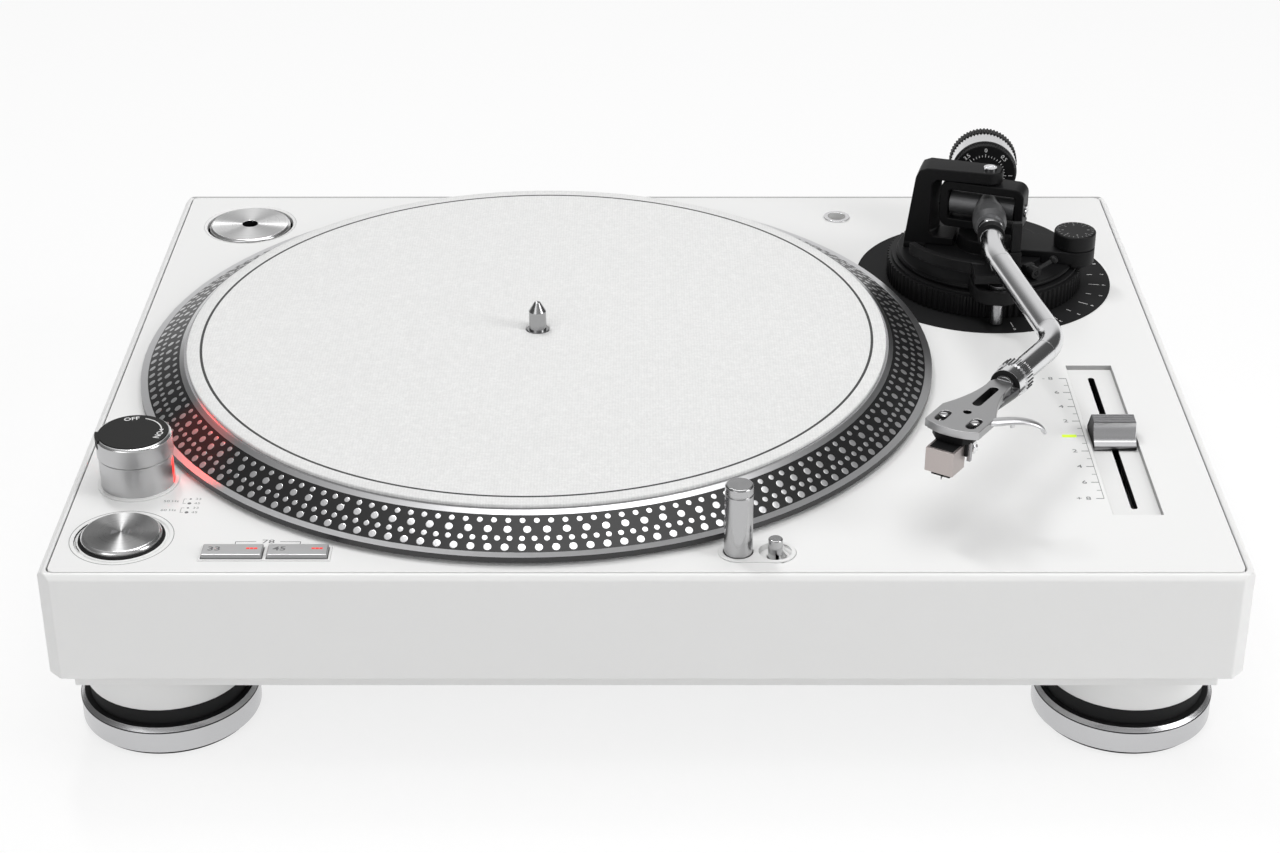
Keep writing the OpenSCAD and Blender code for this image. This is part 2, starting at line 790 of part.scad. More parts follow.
// A plain ring
module ring(r_out, r_in, h) {
  difference() {
    cylinder(r = r_out, h = h);
    translate([0, 0, -overlap]) cylinder(r = r_in, h = h + 2 * overlap);
  }
}

// The deck's outline with cut corners, set in by an amount
module deck_outline(inset) {
  w = deck_w / 2 - inset;
  d = deck_d / 2 - inset;
  c = max(corner_cut - inset * 0.58, 0.5);
  polygon([[w - c, -d], [w, -d + c], [w, d - c], [w - c, d],
    [-w + c, d], [-w, d - c], [-w, -d + c], [-w + c, -d]]);
}

// The side view of the body with its top edges cut
module bevelled_side(w) {
  polygon([[-w / 2, body_z], [w / 2, body_z], [w / 2, deck_top - edge_cut],
    [w / 2 - edge_cut, deck_top], [-w / 2 + edge_cut, deck_top], [-w / 2, deck_top - edge_cut]]);
}

// Frames that pieces of the arm are made in

// The upright axis of the arm
module at_pivot() { translate([pivot_x, pivot_y, 0]) children(); }

// The arm's frame at rest: forward is -Y, sloped about the gimbal's axis
module in_arm() {
  translate([pivot_x, pivot_y, pivot_z])
    rotate(a = -arm_lift, v = [cos(gimbal_yaw), sin(gimbal_yaw), 0])
      children();
}

// The arm's straight axis: forward is -Y
module along_arm() { in_arm() rotate([0, 0, arm_yaw]) children(); }

// The tube's frame after the first bend
module after_bend1() {
  along_arm() translate([bend1_r, -tube_run1, 0]) rotate([0, 0, bend1_angle])
    translate([-bend1_r, 0, 0]) children();
}

// The tube's frame after the second bend
module after_bend2() {
  after_bend1() translate([-bend2_r, -tube_run2, 0]) rotate([0, 0, -bend2_angle])
    translate([bend2_r, 0, 0]) children();
}

// The headshell's frame: its origin is the collar's front face
module at_head() { after_bend2() translate([0, -tube_run3, 0]) children(); }

// A round bar along -Y between two distances
module forward_bar(from, to, r) {
  translate([0, -from, 0]) rotate([90, 0, 0]) cylinder(r = r, h = to - from);
}

// The S-shaped tube's solid path at a given radius, with a band over each join
module s_path(r, from, to_end) {
  along_arm() forward_bar(from, tube_run1, r);
  along_arm() join_band(tube_run1, r);
  along_arm() translate([bend1_r, -tube_run1, 0]) rotate([0, 0, 180])
    rotate_extrude(angle = bend1_angle) translate([bend1_r, 0]) circle(r = r);
  after_bend1() join_band(0, r);
  after_bend1() forward_bar(0, tube_run2, r);
  after_bend1() join_band(tube_run2, r);
  after_bend1() translate([-bend2_r, -tube_run2, 0]) rotate([0, 0, -bend2_angle])
    rotate_extrude(angle = bend2_angle) translate([bend2_r, 0]) circle(r = r);
  after_bend2() join_band(0, r);
  after_bend2() forward_bar(0, to_end, r);
}

// A band over the join of a straight run and a bend
module join_band(at, r) { forward_bar(at - 0.5, at + 0.5, r + 0.06); }

// The deck

module body_shell() {
  color(white) difference() {
    union() {
      difference() {
        intersection() {
          translate([0, 0, body_z]) linear_extrude(body_h) deck_outline(0);
          translate([0, deck_d, 0]) rotate([90, 0, 0]) linear_extrude(2 * deck_d) bevelled_side(deck_w);
          translate([-deck_w, 0, 0]) rotate([90, 0, 90]) linear_extrude(2 * deck_w)
            bevelled_side(deck_d);
        }
        translate([0, 0, body_z - overlap])
          linear_extrude(ledge_under - body_z + overlap) deck_outline(body_wall);
        translate([0, 0, body_z])
          linear_extrude(body_h) square([deck_w - 2 * (rim_w + ledge_w),
            deck_d - 2 * (rim_w + ledge_w)], center = true);
        translate([0, 0, plate_under])
          linear_extrude(plate_t + overlap)
            rounded_rect(deck_w - 2 * rim_w, deck_d - 2 * rim_w, plate_corner_r + seam);
      }
      for (p = POSTS) fixing_post(p);
    }
    for (p = POSTS) translate([p.x, p.y, flange_top - overlap]) cylinder(r = screw_r, h = screw_len);
    translate([0, back_y, bay_z]) cube([bay_w, 4 * body_wall, bay_h], center = true);
  }
}

// A post that joins a wall of the body and takes a base screw
module fixing_post(p) {
  side = sign(p.y);
  reach = back_y - body_wall / 2 - (post_y - post_w / 2);
  translate([p.x - post_w / 2, side > 0 ? post_y - post_w / 2 : -post_y + post_w / 2 - reach,
    flange_top])
    cube([post_w, reach, post_h]);
}

module top_plate() {
  color(white) difference() {
    union() {
      translate([0, 0, plate_under]) linear_extrude(plate_t)
        rounded_rect(deck_w - 2 * (rim_w + seam), deck_d - 2 * (rim_w + seam), plate_corner_r);
      translate([adaptor_x, adaptor_y, deck_top - well_depth - well_wall])
        cylinder(r = well_r + well_wall, h = well_depth + well_wall - overlap);
    }
    translate([adaptor_x, adaptor_y, deck_top - well_depth])
      cylinder(r = well_r, h = well_depth + overlap);
    plate_hole(platter_x, platter_y, motor_hole_r);
    plate_hole(pivot_x, pivot_y, column_r + slide_gap);
    plate_hole(start_x, start_y, start_r + slide_gap);
    translate([start_x, start_y, deck_top - start_groove_d])
      ring(start_groove_r, start_groove_r - 0.7, overlap + start_groove_d);
    plate_hole(socket_x, socket_y, socket_bore_r + socket_wall);
    plate_hole(lamp_x, lamp_y, guide_r);
    plate_hole(lamp_x + release_dx, lamp_y, release_cup_r);
    translate([keys_x, keys_y, deck_top]) cube([bezel_w, bezel_d, 4 * plate_t], center = true);
    translate([tempo_x, tempo_y, deck_top]) cube([tempo_w, tempo_len, 4 * plate_t], center = true);
    translate([led_x(), tempo_y, deck_top]) cube([led_len, led_w, 4 * plate_t], center = true);
  }
}

module plate_hole(x, y, r) { translate([x, y, plate_under - overlap])
  cylinder(r = r, h = plate_t + 2 * overlap); }

function led_x() = tempo_x - tempo_w / 2 - led_gap - led_len / 2;

module base_tray() {
  color(white) difference() {
    union() {
      difference() {
        union() {
          translate([0, 0, body_z]) linear_extrude(flange_t) deck_outline(body_wall + slide_gap);
          translate([0, 0, tray_z]) linear_extrude(tray_h) deck_outline(tray_inset);
        }
        translate([0, 0, tray_floor]) linear_extrude(tray_h + flange_t) deck_outline(tray_inset + tray_t);
      }
      for (p = POSTS) translate([p.x, p.y, tray_z]) cylinder(r = post_w / 2, h = flange_top - tray_z);
      for (p = board_corners()) translate([p.x, p.y, tray_z]) cylinder(r = 3, h = tray_t + standoff_h);
    }
    for (p = POSTS) translate([p.x, p.y, tray_z - overlap])
      cylinder(r = screw_r + slide_gap, h = flange_top - tray_z + 2 * overlap);
  }
}

// The four bosses above the feet, fitted round the tray's sides
module foot_bosses() {
  color(white) for (f = FEET) difference() {
    translate([f.x, f.y, boss_z]) cylinder(r1 = boss_low_r, r2 = boss_top_r, h = body_z - boss_z);
    translate([0, 0, tray_z]) linear_extrude(tray_h + overlap) deck_outline(tray_inset);
    translate([f.x, f.y, boss_z - overlap]) cylinder(r = stud_r + run_gap, h = stud_len + 2 * overlap);
  }
}

function board_corners() = [for (x = [-1, 1], y = [-1, 1])
  [board_x + x * (board_w / 2 - 6), board_y + y * (board_d / 2 - 6)]];

module foot_dampers() {
  color(black) for (f = FEET) translate([f.x, f.y, foot_top])
    ring(damper_r, stud_r + overlap, damper_h);
}

module base_screws() {
  color(steel) for (p = POSTS) translate([p.x, p.y, tray_z]) {
    cylinder(r = screw_r, h = screw_len);
    difference() {
      translate([0, 0, -2]) cylinder(r = screw_head_r, h = 2);
      for (a = [0, 90]) rotate([0, 0, a]) translate([0, 0, -2])
        cube([screw_head_r, 0.9, 2], center = true);
    }
  }
}

module scale_disc() {
  color(black) at_pivot() translate([0, 0, deck_top]) ring(scale_r, column_r + slide_gap, scale_t);
}

module strobe_pillar() {
  color(steel) translate([power_x, power_y, deck_top]) difference() {
    union() {
      cylinder(r = pillar_foot_r, h = pillar_foot_t);
      cylinder(r = pillar_r, h = pillar_h);
    }
    translate([0, 0, pillar_h - power_stem_len - slide_gap])
      cylinder(r = power_stem_r + run_gap, h = power_stem_len + overlap);
    window_block(pillar_r);
  }
}

// The strobe window's space, out to a given reach
module window_block(reach) {
  rotate([0, 0, window_angle]) translate([pillar_r - window_depth, -window_w / 2, pillar_foot_t])
    cube([window_depth + reach - pillar_r + overlap, window_w, window_h]);
}

module strobe_window() {
  color([0.85, 0.1, 0.08]) translate([power_x, power_y, deck_top]) intersection() {
    window_block(pillar_r);
    cylinder(r = pillar_r - 0.2, h = pillar_h);
  }
}

module speed_bezel() {
  color(white) translate([keys_x, keys_y, bezel_low]) difference() {
    translate([-bezel_w / 2, -bezel_d / 2, 0]) cube([bezel_w, bezel_d, bezel_h]);
    translate([-bezel_w / 2 + bezel_wall, -bezel_d / 2 + bezel_wall, bezel_wall])
      cube([bezel_w - 2 * bezel_wall, bezel_d - 2 * bezel_wall, bezel_h]);
  }
  color(white) translate([keys_x - key_gap / 2 + slide_gap, keys_y - bezel_d / 2 + 0.1, bezel_low])
    cube([key_gap - 2 * slide_gap, bezel_d - 0.2, bezel_h]);
}

module lamp_plate() {
  color(white) translate([lamp_x, lamp_y, 0]) difference() {
    union() {
      translate([release_dx / 2, 0, deck_top])
        linear_extrude(lamp_plate_up) stadium(release_dx + lamp_plate_w, lamp_plate_w);
      translate([0, 0, plate_under - guide_len]) cylinder(r = guide_r, h = guide_len + plate_t);
      translate([release_dx, 0, release_cup_low])
        cylinder(r = release_cup_r, h = deck_top - release_cup_low);
    }
    translate([0, 0, plate_under - guide_len - overlap])
      cylinder(r = lamp_r + slide_gap, h = guide_len + plate_t + 3 * overlap);
    translate([release_dx, 0, release_floor])
      cylinder(r = release_well_r, h = release_well_d + overlap);
    translate([release_dx, 0, release_cup_low - overlap])
      cylinder(r = release_r + slide_gap, h = guide_wall + 2 * overlap);
  }
}

module tempo_bed() {
  color(white) translate([tempo_x, tempo_y, bed_under]) difference() {
    union() {
      translate([-tempo_w / 2, -tempo_len / 2, 0]) cube([tempo_w, tempo_len, tempo_bed_t]);
      translate([-tempo_w / 2 - tempo_flange, -tempo_len / 2 - tempo_flange, 0])
        cube([tempo_w + 2 * tempo_flange, tempo_len + 2 * tempo_flange, plate_under - bed_under]);
    }
    translate([0, 0, -overlap]) linear_extrude(tempo_bed_t + 2 * overlap) rotate(90)
      stadium(slot_len, slot_w);
  }
}

module tempo_lamp() {
  color([0.8, 0.95, 0.2]) translate([led_x() - led_len / 2, tempo_y - led_w / 2, plate_under])
    cube([led_len, led_w, plate_t + 0.1]);
}

module headshell_socket() {
  color(steel) translate([socket_x, socket_y, deck_top - socket_depth]) difference() {
    union() {
      cylinder(r = socket_bore_r + socket_wall, h = socket_depth);
      translate([0, 0, socket_depth]) cylinder(r = socket_collar_r, h = socket_collar_h);
    }
    translate([0, 0, -overlap]) cylinder(r = socket_bore_r,
      h = socket_depth + socket_collar_h + 2 * overlap);
  }
}

// The drive

module motor_base() {
  color([0.5, 0.5, 0.52]) translate([platter_x, platter_y, 0]) difference() {
    union() {
      translate([0, 0, motor_under]) cylinder(r = motor_hole_r + motor_flange_w, h = motor_flange_t);
      translate([0, 0, bearing_low]) cylinder(r = motor_hub_r, h = plate_under - bearing_low);
    }
    translate([0, 0, bearing_low - overlap]) cylinder(r = bearing_r, h = bearing_len + 2 * overlap);
  }
}

module stator() {
  color([0.72, 0.4, 0.18]) translate([platter_x, platter_y, plate_under])
    ring(stator_out_r, stator_in_r, stator_h);
}

module spindle_bearing() {
  color([0.75, 0.6, 0.3]) translate([platter_x, platter_y, bearing_low]) difference() {
    cylinder(r = bearing_r, h = bearing_len);
    translate([0, 0, bearing_end]) cylinder(r = shaft_low_r + run_gap, h = bearing_len);
  }
}

module platter() {
  color(steel) translate([platter_x, platter_y, 0]) difference() {
    rotate_extrude() polygon([
      [0, web_under - hub_h], [hub_r, web_under - hub_h], [hub_r, web_under],
      [platter_hollow_r, web_under], [platter_hollow_r, platter_z],
      [platter_r, platter_z], [platter_r, platter_z + platter_rim_h],
      [platter_r - platter_lip, platter_z + platter_rim_h + lip_h],
      [platter_seat_r + seat_lip, platter_top - seat_lip_h],
      [platter_seat_r, platter_top], [0, platter_top]]);
    translate([0, 0, platter_z - overlap]) cylinder(r = shaft_low_r, h = platter_h + 2 * overlap);
  }
}

module rotor_magnet() {
  color([0.25, 0.25, 0.27]) translate([platter_x, platter_y, web_under - magnet_h])
    ring(magnet_out_r, magnet_in_r, magnet_h);
}

module spindle() {
  color(steel) translate([platter_x, platter_y, 0]) rotate_extrude() polygon([
    [0, bearing_low + bearing_end + run_gap], [shaft_low_r, bearing_low + bearing_end + run_gap],
    [shaft_low_r, mat_top], [spindle_r, mat_top],
    [spindle_r, mat_top + spindle_up - spindle_tip_h],
    [spindle_r * 0.35, mat_top + spindle_up - 0.5], [0, mat_top + spindle_up]]);
}

module slipmat() {
  color([0.86, 0.86, 0.85]) translate([platter_x, platter_y, platter_top])
    ring(mat_r, shaft_low_r + slide_gap, mat_t);
}

// Inside the body

module circuit_board() {
  color([0.1, 0.35, 0.2]) translate([board_x - board_w / 2, board_y - board_d / 2,
    tray_floor + standoff_h])
    cube([board_w, board_d, board_t]);
}

module rear_panel() {
  color(black) translate([0, 0, bay_z]) difference() {
    translate([-bay_w / 2 - panel_t, bay_y - panel_t, -bay_h / 2 - panel_t])
      cube([bay_w + 2 * panel_t, bay_depth - body_wall + panel_t, bay_h + 2 * panel_t]);
    translate([-bay_w / 2, bay_y, -bay_h / 2]) cube([bay_w, bay_depth, bay_h]);
  }
}

module output_jacks() {
  color([0.8, 0.65, 0.3]) translate([0, bay_y, bay_z]) rotate([-90, 0, 0]) {
    for (i = [0, 1]) translate([jack_x - i * jack_pitch, 0, 0]) difference() {
      union() {
        cylinder(r = jack_r, h = jack_len);
        cylinder(r = jack_r + 1.6, h = 1.6);
      }
      translate([0, 0, 2]) cylinder(r = jack_r / 2.6, h = jack_len);
    }
    translate([jack_x - 2 * jack_pitch, 0, 0]) {
      cylinder(r = 1.6, h = jack_len - 1);
      translate([0, 0, 1.5]) cylinder(r = jack_r, h = 4);
    }
  }
}

module power_inlet() {
  color(black) translate([inlet_x, bay_y, bay_z]) {
    difference() {
      translate([-inlet_w / 2, 0, -inlet_h / 2]) cube([inlet_w, inlet_len, inlet_h]);
      translate([-inlet_w / 2 + inlet_wall, inlet_wall, -inlet_h / 2 + inlet_wall])
        cube([inlet_w - 2 * inlet_wall, inlet_len, inlet_h - 2 * inlet_wall]);
    }
    for (x = [-7, 7]) translate([x - 1, inlet_wall, -2]) cube([2, 5, 4]);
  }
}

// Controls

module adaptor_45() {
  color(steel) translate([adaptor_x, adaptor_y, deck_top - well_depth]) difference() {
    rotate_extrude() polygon([[0, 0], [adaptor_r, 0], [adaptor_r, adaptor_t - adaptor_bevel],
      [adaptor_r - adaptor_bevel, adaptor_t], [0, adaptor_t]]);
    translate([0, 0, -overlap]) cylinder(r = spindle_r + run_gap, h = adaptor_t + 2 * overlap);
  }
}

module power_knob() {
  color(steel) translate([power_x, power_y, knob_low]) {
    rotate_extrude() polygon([[0, 0], [power_knob_r - 0.2, 0], [power_knob_r, 0.2],
      [power_knob_r, power_knob_h - 0.8], [power_knob_r - 0.8, power_knob_h], [0, power_knob_h]]);
    translate([0, 0, -power_stem_len]) cylinder(r = power_stem_r, h = power_stem_len + overlap);
  }
}

module start_button() {
  color(steel) translate([start_x, start_y, 0]) rotate_extrude() polygon([
    [0, plate_under - slide_gap - button_flange_t],
    [start_r + button_flange, plate_under - slide_gap - button_flange_t],
    [start_r + button_flange, plate_under - slide_gap], [start_r, plate_under - slide_gap],
    [start_r, deck_top + start_up - start_bevel], [start_r - start_bevel, deck_top + start_up],
    [0, deck_top + start_up]]);
}

module speed_key(side) {
  color(steel) translate([keys_x + side * (key_w + key_gap) / 2 - key_w / 2, keys_y - key_d / 2,
    bezel_low + bezel_wall + key_travel + slide_gap])
    cube([key_w, key_d, deck_top + key_up - bezel_low - bezel_wall - key_travel - slide_gap]);
}

module speed_key_33() { speed_key(-1); }

module speed_key_45() { speed_key(1); }

module lamp_button() {
  color(steel) translate([lamp_x + release_dx, lamp_y, 0]) rotate_extrude() polygon([
    [0, release_cup_low - slide_gap - button_flange_t],
    [release_r + button_flange, release_cup_low - slide_gap - button_flange_t],
    [release_r + button_flange, release_cup_low - slide_gap], [release_r, release_cup_low - slide_gap],
    [release_r, deck_top + release_up - 0.4], [release_r - 0.4, deck_top + release_up],
    [0, deck_top + release_up]]);
}

module target_lamp() {
  color(steel) translate([lamp_x, lamp_y, deck_top + lamp_up - lamp_len]) rotate_extrude() polygon([
    [0, 0], [lamp_r, 0], [lamp_r, lamp_len - lamp_cap_h - 0.6], [lamp_r - 0.4,
      lamp_len - lamp_cap_h - 0.6],
    [lamp_r - 0.4, lamp_len - lamp_cap_h], [lamp_r, lamp_len - lamp_cap_h],
    [lamp_r, lamp_len - 0.6], [lamp_r - 0.6, lamp_len], [0, lamp_len]]);
}

module tempo_knob() {
  half = tempo_knob_len / 2;
  ridge = tempo_ridge_len / 2;
  scoop_r = 9;
  low = tempo_floor + 0.4;
  color(steel) translate([tempo_x, tempo_y, 0]) {
    difference() {
      translate([-tempo_knob_w / 2, 0, low]) rotate([90, 0, 90]) linear_extrude(tempo_knob_w)
        polygon([[-half, 0], [half, 0], [half, 1.6], [ridge, tempo_knob_h],
          [-ridge, tempo_knob_h], [-half, 1.6]]);
      for (s = [-1, 1]) translate([-tempo_knob_w, s * (half + 3.3), low + tempo_knob_h + 0.4])
        rotate([0, 90, 0]) cylinder(r = scoop_r, h = 2 * tempo_knob_w);
    }
    translate([-slot_w / 2 + slide_gap, -tempo_stem_len / 2, bed_under - slide_gap])
      cube([slot_w - 2 * slide_gap, tempo_stem_len, low - bed_under + slide_gap + overlap]);
    translate([-carriage_w / 2, -tempo_stem_len / 2, bed_under - slide_gap - carriage_t])
      cube([carriage_w, tempo_stem_len, carriage_t]);
  }
}

// The arm base

module height_ring() {
  color(black) at_pivot() translate([0, 0, ring_low]) difference() {
    union() {
      ribbed_disc(ring_r, ring_rib, ring_ribs, ring_h - 1.2);
      cylinder(r1 = ring_r - ring_rib, r2 = ring_r - ring_rib - 1.2, h = ring_h);
    }
    translate([0, 0, -overlap]) cylinder(r = column_r + slide_gap, h = ring_h + 2 * overlap);
  }
}

module arm_base() {
  cup_y = -lift_reach + cup_back;
  color(black) at_pivot() difference() {
    union() {
      translate([0, 0, column_bottom]) cylinder(r = column_r, h = disc_low - column_bottom + overlap);
      translate([0, 0, disc_low]) cylinder(r = base_disc_r, h = base_disc_t - 0.6);
      translate([0, 0, disc_low]) cylinder(r = base_disc_r - 0.6, h = base_disc_t);
      translate([0, 0, disc_top - overlap]) cylinder(r = step_r, h = step_h + overlap);
      translate([0, 0, step_top - overlap]) cylinder(r = housing_r, h = housing_h + overlap);
      difference() {
        union() {
          translate([0, cup_y, cup_low]) cylinder(r = cup_r, h = cup_h);
          translate([-cup_r, cup_y, cup_low]) cube([2 * cup_r, -cup_y - base_disc_r + 3.5, cup_h]);
        }
        translate([0, cup_y, cup_floor]) cylinder(r = cup_r - cup_wall, h = cup_h);
        translate([-cup_r + cup_wall, cup_y, cup_floor])
          cube([2 * (cup_r - cup_wall), lift_reach, cup_h]);
      }
      cue_lug();
    }
    translate([0, 0, step_top - overlap]) cylinder(r = pin_r + run_gap, h = housing_h + 2 * overlap);
    translate([0, -lift_reach, cup_low - overlap]) cylinder(r = lift_r, h = cup_wall + 2 * overlap);
  }
}

// The lug and pin that carry the cue lever
module cue_lug() {
  translate([cue_dx, cue_dy, 0]) rotate([0, 0, cue_angle]) {
    translate([-cue_hub_r, slide_gap, disc_top - overlap])
      cube([2 * cue_hub_r, 3, overlap + 2 * cue_hub_r]);
    translate([0, slide_gap + overlap, cue_z]) rotate([90, 0, 0])
      cylinder(r = cue_pin_r, h = cue_hub_w + slide_gap + overlap);
  }
}

module gimbal_arch() {
  color(black) at_pivot() rotate([0, 0, arch_yaw]) difference() {
    intersection() {
      union() {
        translate([0, arch_d, 0]) rotate([90, 0, 0]) linear_extrude(2 * arch_d) polygon([
          [-arch_foot, step_top], [-housing_r - 1, step_top], [-housing_r - 1, bar_top],
          [-arch_inner + 2, bar_top], [-arch_inner, bar_top + 2],
          [-arch_inner, beam_low - 2], [-arch_inner + 2, beam_low], [arch_end_r, beam_low],
          [arch_end_r, arch_top - 1], [arch_end_r - 1, arch_top], [-arch_reach + 5, arch_top],
          [-arch_reach + 1.5, arch_top - 1.5], [-arch_reach, arch_top - 5]]);
        translate([0, 0, bar_top - 1]) linear_extrude(beam_low - bar_top + 2)
          polygon([[-arch_inner - 0.5, -arch_d / 2], [-arch_inner + 2.9, arch_d / 2],
            [-arch_inner - 2, arch_d / 2]]);
      }
      translate([0, 0, step_top]) linear_extrude(arch_top) {
        polygon([[-arch_foot, -arch_d / 2], [0, -arch_end_r], [0, arch_end_r], [-arch_foot,
          arch_d / 2]]);
        circle(r = arch_end_r);
      }
    }
    translate([0, 0, beam_low - overlap]) cylinder(r = pin_r, h = arch_beam + 2 * overlap);
  }
  color(black) at_pivot() rotate([0, 0, arch_yaw])
    translate([-arch_foot, -arch_d / 2, disc_top]) arch_foot_block();
}

// The part of the arch's foot that reaches down to the disc
module arch_foot_block() {
  difference() {
    cube([arch_foot - step_r + 1, arch_d, step_h]);
    translate([arch_foot, arch_d / 2, -overlap]) cylinder(r = step_r, h = step_h + 2 * overlap);
  }
}

module arch_screw() {
  color(steel) at_pivot() {
    translate([0, 0, gimbal_top - gimbal_bar + slide_gap])
      cylinder(r = pin_r, h = arch_top - gimbal_top + gimbal_bar - slide_gap);
    difference() {
      translate([0, 0, arch_top]) cylinder(r = pin_head_r, h = pin_head_t);
      translate([0, 0, arch_top + pin_head_t]) rotate([0, 0, 25])
        cube([2 * pin_head_r + 1, 0.8, 1], center = true);
    }
  }
}

module antiskate_bracket() {
  color(black) at_pivot() rotate([0, 0, skate_angle]) difference() {
    union() {
      translate([0, 0, disc_top]) linear_extrude(bracket_t) polygon([
        [bracket_in, -bracket_w / 2], [skate_reach, -skate_r], [skate_reach, skate_r], [bracket_in,
          bracket_w / 2]]);
      translate([skate_reach, 0, disc_low + 0.4])
        cylinder(r = skate_r, h = bracket_top - disc_low - 0.4);
    }
    translate([0, 0, disc_low - overlap]) cylinder(r = base_disc_r, h = base_disc_t + overlap);
    translate([0, 0, disc_top - overlap]) cylinder(r = step_r, h = step_h + overlap);
    translate([0, 0, step_top - overlap]) cylinder(r = housing_r + 0.4, h = bracket_t + overlap);
    translate([skate_reach, 0, disc_low])
      cylinder(r = skate_stem_r + run_gap, h = bracket_t + 2 * base_disc_t);
  }
}

module antiskate_knob() {
  color(black) at_pivot() rotate([0, 0, skate_angle])
    translate([skate_reach, 0, bracket_top + slide_gap]) {
    rotate_extrude() polygon([[0, 0], [skate_r, 0], [skate_r, skate_h - 0.5], [skate_r - 0.5, skate_h],
      [0, skate_h]]);
    translate([0, 0, -bracket_t]) cylinder(r = skate_stem_r, h = bracket_t + overlap);
  }
}

module arm_rest() {
  color(black) at_pivot() translate([rest_dx, rest_dy, 0]) difference() {
    union() {
      translate([0, -rest_w / 2, disc_top]) cube([rest_w, rest_w, shelf_top - disc_top]);
      translate([-rest_reach, -rest_w / 2, shelf_top - rest_t])
        cube([rest_reach + overlap, rest_w, rest_t]);
    }
    translate([0, 0, -0.01]) clamp_swing();
    translate([-rest_dx, -rest_dy, disc_top - overlap]) cylinder(r = step_r, h = step_h + overlap);
  }
  color(black) at_pivot() translate([rest_dx + rest_w / 2, rest_dy + rest_w / 2 - 0.2, clamp_z])
    rotate([90, 0, 0]) cylinder(r = clamp_pin_r, h = rest_w - 0.4);
}

// The slot that the arm clamp turns in
module clamp_swing() {
  translate([-slide_gap, -clamp_t / 2 - slide_gap, clamp_z - 3])
    cube([rest_w + 2 * slide_gap + overlap, clamp_t + 2 * slide_gap, 3 + rest_t]);
}

module arm_clamp() {
  color(black) at_pivot() translate([rest_dx, rest_dy, clamp_z]) difference() {
    union() {
      translate([0.4, -clamp_t / 2, 0]) cube([rest_w - 0.8, clamp_t, clamp_h]);
      translate([rest_w / 2, clamp_t / 2, 0]) rotate([90, 0, 0])
        cylinder(r = rest_w / 2 - 0.4, h = clamp_t);
    }
    translate([rest_w / 2, clamp_t, 0]) rotate([90, 0, 0])
      cylinder(r = clamp_pin_r + run_gap, h = 2 * clamp_t);
  }
}

module lift_cylinder() {
  color(steel) at_pivot() translate([0, -lift_reach, 0]) difference() {
    union() {
      translate([0, 0, lift_bottom]) cylinder(r = lift_r, h = cup_floor - lift_bottom);
      translate([0, 0, cup_floor]) cylinder(r = lift_head_r, h = lift_top - cup_floor);
    }
    translate([0, 0, lift_bottom + 1.5]) cylinder(r = rod_r + run_gap, h = lift_top - lift_bottom);
  }
}

module arm_lifter() {
  color(black) at_pivot() {
    translate([0, 0, lifter_low]) rotate([0, 0, lifter_from])
      rotate_extrude(angle = lifter_to - lifter_from)
        translate([lifter_r - lifter_t / 2, 0]) square([lifter_t, lifter_h]);
    translate([-11, -lift_reach - 3, lifter_low + 0.3])
      cube([14, lift_reach + 3 - lifter_r + 0.6, lifter_h - 0.8]);
    translate([0, -lift_reach, lifter_low - rod_len]) cylinder(r = rod_r, h = rod_len + overlap);
  }
}

module cue_lever() {
  color(black) at_pivot() translate([cue_dx, cue_dy, cue_z]) rotate([0, 0, cue_angle]) {
    difference() {
      rotate([90, 0, 0]) cylinder(r = cue_hub_r, h = cue_hub_w);
      translate([0, overlap, 0]) rotate([90, 0, 0])
        cylinder(r = cue_pin_r + run_gap, h = cue_hub_w + 2 * overlap);
    }
    translate([0, -cue_hub_w / 2, 0]) rotate([0, -18, 0]) {
      translate([cue_hub_r - 0.4, 0, 0]) rotate([0, 90, 0]) cylinder(r = 1, h = cue_len - cue_hub_r);
      translate([cue_len, 0, 0]) sphere(r = cue_ball_r);
    }
  }
}

// The gimbal and the arm

module gimbal_frame() {
  span = gimbal_left + gimbal_right;
  height = gimbal_over + gimbal_under;
  mid_x = (gimbal_right - gimbal_left) / 2;
  mid_z = (gimbal_over - gimbal_under) / 2;
  color(black) at_pivot() rotate([0, 0, gimbal_yaw]) difference() {
    union() {
      translate([mid_x, gimbal_d / 2, pivot_z + mid_z]) rotate([90, 0, 0]) linear_extrude(gimbal_d)
        difference() {
        rounded_rect(span, height, gimbal_corner);
        rounded_rect(span - 2 * gimbal_bar, height - 2 * gimbal_bar, gimbal_corner * 0.25);
      }
      translate([0, 0, step_top]) cylinder(r = pin_r, h = gimbal_low - step_top + overlap);
    }
    translate([0, 0, gimbal_top - gimbal_bar - overlap])
      cylinder(r = pin_r + run_gap, h = gimbal_bar + 2 * overlap);
    translate([-gimbal_left - overlap, 0, pivot_z]) rotate([0, 90, 0])
      cylinder(r = pin_r, h = span + 2 * overlap);
  }
}

module gimbal_screws() {
  color(steel) at_pivot() rotate([0, 0, gimbal_yaw]) translate([0, 0, pivot_z]) {
    translate([gimbal_right, 0, 0]) pivot_screw(1);
    translate([-gimbal_left, 0, 0]) pivot_screw(-1);
  }
}

// A tilt pivot screw through one side of the gimbal frame
module pivot_screw(side) {
  rotate([0, side * 90, 0]) {
    translate([0, 0, -gimbal_bar - pin_reach]) cylinder(r = pin_r, h = gimbal_bar + pin_reach);
    difference() {
      cylinder(r = pin_head_r, h = pin_head_t);
      translate([0, 0, pin_head_t]) cube([0.8, 2 * pin_head_r + 1, 1], center = true);
    }
  }
}

